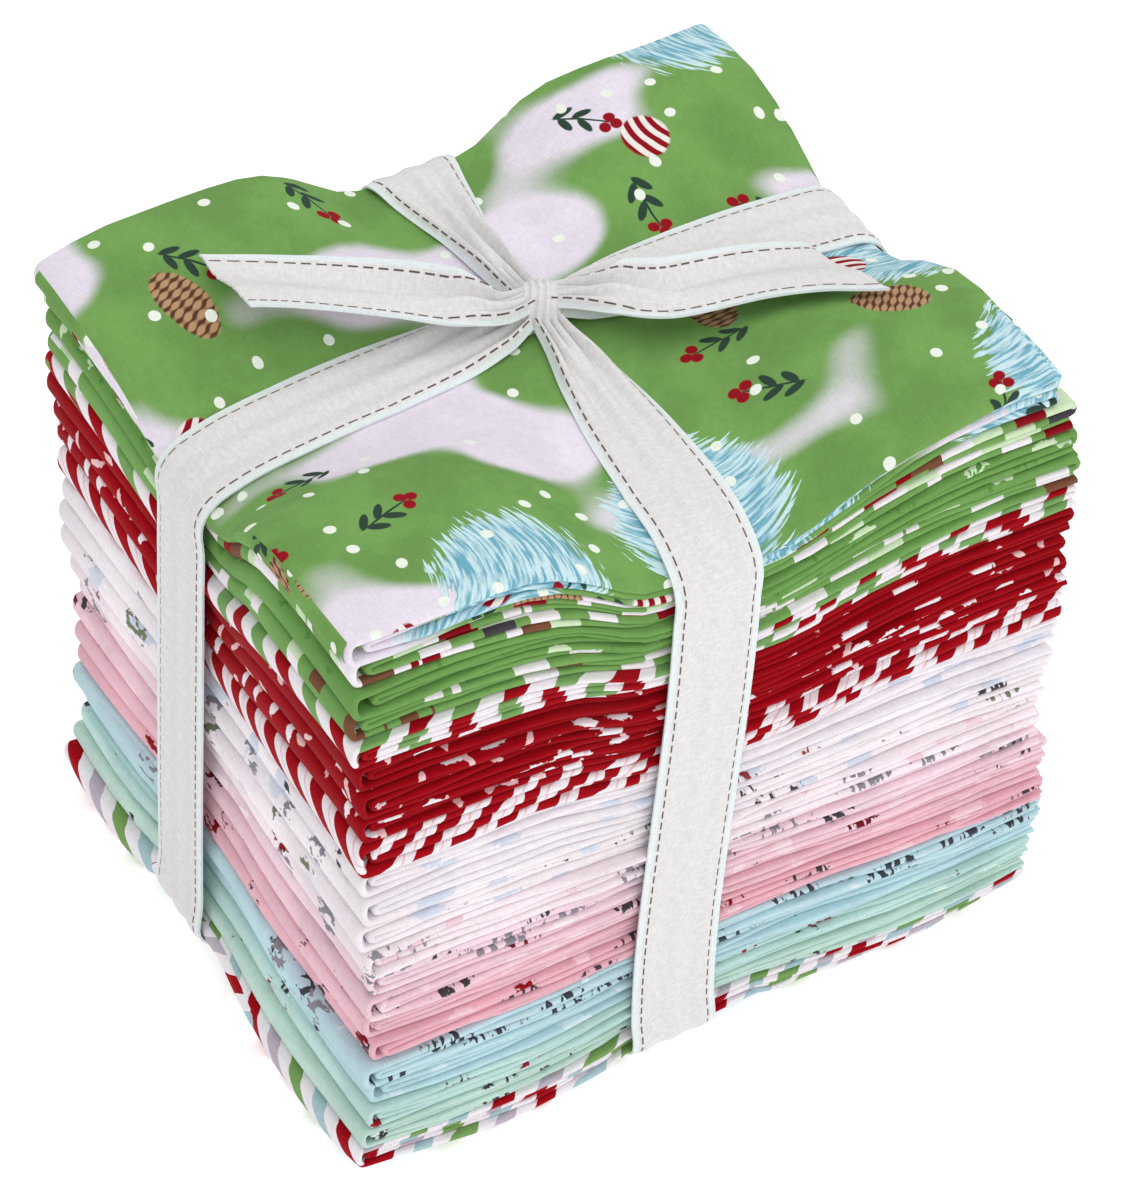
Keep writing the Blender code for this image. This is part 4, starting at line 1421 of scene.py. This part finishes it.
class BUNDLE_OT_ribbon_knot(bpy.types.Operator):
    """Gather the ribbon into its knot"""

    bl_idname = "bundle.ribbon_knot"
    bl_label = "Ribbon knot"

    def execute(self, context):
        sizes = context.scene.bundle_ribbon
        piece, flat = knot_of_ribbon(sizes)
        dressed(piece, the_ribbon(sizes), "ribbon_cotton", "ribbon_knot")
        return {"FINISHED"}


class BUNDLE_OT_ribbon_tails(bpy.types.Operator):
    """Lay out the ribbon's two free ends"""

    bl_idname = "bundle.ribbon_tails"
    bl_label = "Ribbon tails"

    def execute(self, context):
        sizes = context.scene.bundle_ribbon
        for name, table, cut in (
            ("left", LEFT_TAIL, LEFT_TAIL_CUT),
            ("right", RIGHT_TAIL, RIGHT_TAIL_CUT),
        ):
            piece, flat = tail_of_ribbon("tail_" + name, table, cut, sizes)
            dressed(piece, the_ribbon(sizes), "ribbon_cotton", "ribbon_tail_" + name)
        return {"FINISHED"}


# The area lights, in metres and watts.
AreaLight = namedtuple("AreaLight", "name place size power")
LIGHTS = (
    AreaLight("Top light", (0.05, 0.1, 1.1), 1.3, 3.6),
    AreaLight("Key light", (-0.28, -0.95, 1.15), 1.2, 4.4),
    AreaLight("Fill light", (0.9, -0.7, 0.7), 1.4, 2.6),
)
LIGHTS_AIM = (0, 0, 0.06)
FLOOR_BELOW = 0.0002

# The photo's camera: in degrees, and in millimetres from the plain stack's middle on the ground.
CAMERA_AZIMUTH = -29.9
CAMERA_ELEVATION = 45.6
CAMERA_PLACE = (-347.9, -609.1, 778.4)
CAMERA_LENS = 164.79
CAMERA_SENSOR = 36


class BUNDLE_OT_stage(bpy.types.Operator):
    """Set the floor, the soft light and the camera"""

    bl_idname = "bundle.stage"
    bl_label = "Floor, light and camera"

    def execute(self, context):
        settings = context.scene.bundle_stage
        bpy.ops.mesh.primitive_plane_add(size=6, location=(0, 0, -FLOOR_BELOW))
        floor = context.object
        floor.name = "floor"
        material = bpy.data.materials.new("Floor")
        material.use_nodes = True
        shader = material.node_tree.nodes["Principled BSDF"]
        shader.inputs["Base Color"].default_value = (*settings.floor_colour, 1)
        shader.inputs["Roughness"].default_value = 0.9
        shader.inputs["Emission Color"].default_value = (1, 1, 1, 1)
        shader.inputs["Emission Strength"].default_value = 0.3
        floor.data.materials.append(material)
        world = bpy.data.worlds.new("Soft surroundings")
        context.scene.world = world
        world.use_nodes = True
        back = world.node_tree.nodes["Background"]
        back.inputs["Color"].default_value = (1, 1, 1, 1)
        back.inputs["Strength"].default_value = settings.world_strength
        for light in LIGHTS:
            add_area_light(light)
        camera = bpy.data.cameras.new("Camera")
        holder = bpy.data.objects.new("Camera", camera)
        context.scene.collection.objects.link(holder)
        place_camera(holder)
        context.scene.camera = holder
        context.scene.view_settings.view_transform = "Standard"
        return {"FINISHED"}


def add_area_light(settings):
    light = bpy.data.lights.new(settings.name, "AREA")
    light.size = settings.size
    light.energy = settings.power
    holder = bpy.data.objects.new(settings.name, light)
    bpy.context.scene.collection.objects.link(holder)
    aim = Vector(LIGHTS_AIM) - Vector(settings.place)
    turn = aim.to_track_quat("-Z", "Y").to_matrix().to_4x4()
    holder.matrix_world = Matrix.Translation(settings.place) @ turn


def place_camera(holder):
    azimuth, elevation = math.radians(CAMERA_AZIMUTH), math.radians(CAMERA_ELEVATION)
    level = math.cos(elevation)
    back = Vector((math.sin(azimuth) * level, -math.cos(azimuth) * level, math.sin(elevation)))
    right = (-back).cross(Vector((0, 0, 1))).normalized()
    up = right.cross(-back)
    turn = Matrix((right, up, back)).transposed().to_4x4()
    place = Vector(CAMERA_PLACE + SHIFT) * MM
    holder.matrix_world = Matrix.Translation(place) @ turn
    holder.data.lens = CAMERA_LENS
    holder.data.sensor_width = CAMERA_SENSOR
    holder.data.clip_start = 0.01


class BUNDLE_PT_panel(bpy.types.Panel):
    """Sizes, colours and the pieces to make"""

    bl_label = "Fat quarter bundle"
    bl_idname = "BUNDLE_PT_panel"
    bl_space_type = "VIEW_3D"
    bl_region_type = "UI"
    bl_category = "Bundle"

    def draw(self, context):
        scene = context.scene
        for settings in (scene.bundle_cloth, scene.bundle_ribbon, scene.bundle_stage):
            box = self.layout.box()
            for name in settings.__annotations__:
                box.prop(settings, name)
        for operator in OPERATORS:
            self.layout.operator(operator.bl_idname)


OPERATORS = (
    BUNDLE_OT_fat_quarters,
    BUNDLE_OT_ribbon_bands,
    BUNDLE_OT_ribbon_knot,
    BUNDLE_OT_ribbon_tails,
    BUNDLE_OT_stage,
)
CLASSES = (ClothSizes, RibbonSizes, StageSettings, *OPERATORS, BUNDLE_PT_panel)


def register():
    for item in CLASSES:
        bpy.utils.register_class(item)
    bpy.types.Scene.bundle_cloth = PointerProperty(type=ClothSizes)
    bpy.types.Scene.bundle_ribbon = PointerProperty(type=RibbonSizes)
    bpy.types.Scene.bundle_stage = PointerProperty(type=StageSettings)


def unregister():
    del bpy.types.Scene.bundle_stage
    del bpy.types.Scene.bundle_ribbon
    del bpy.types.Scene.bundle_cloth
    for item in reversed(CLASSES):
        bpy.utils.unregister_class(item)


def main():
    register()
    bpy.ops.bundle.fat_quarters()
    bpy.ops.bundle.ribbon_bands()
    bpy.ops.bundle.ribbon_knot()
    bpy.ops.bundle.ribbon_tails()
    bpy.ops.bundle.stage()


if __name__ == "__main__":
    main()
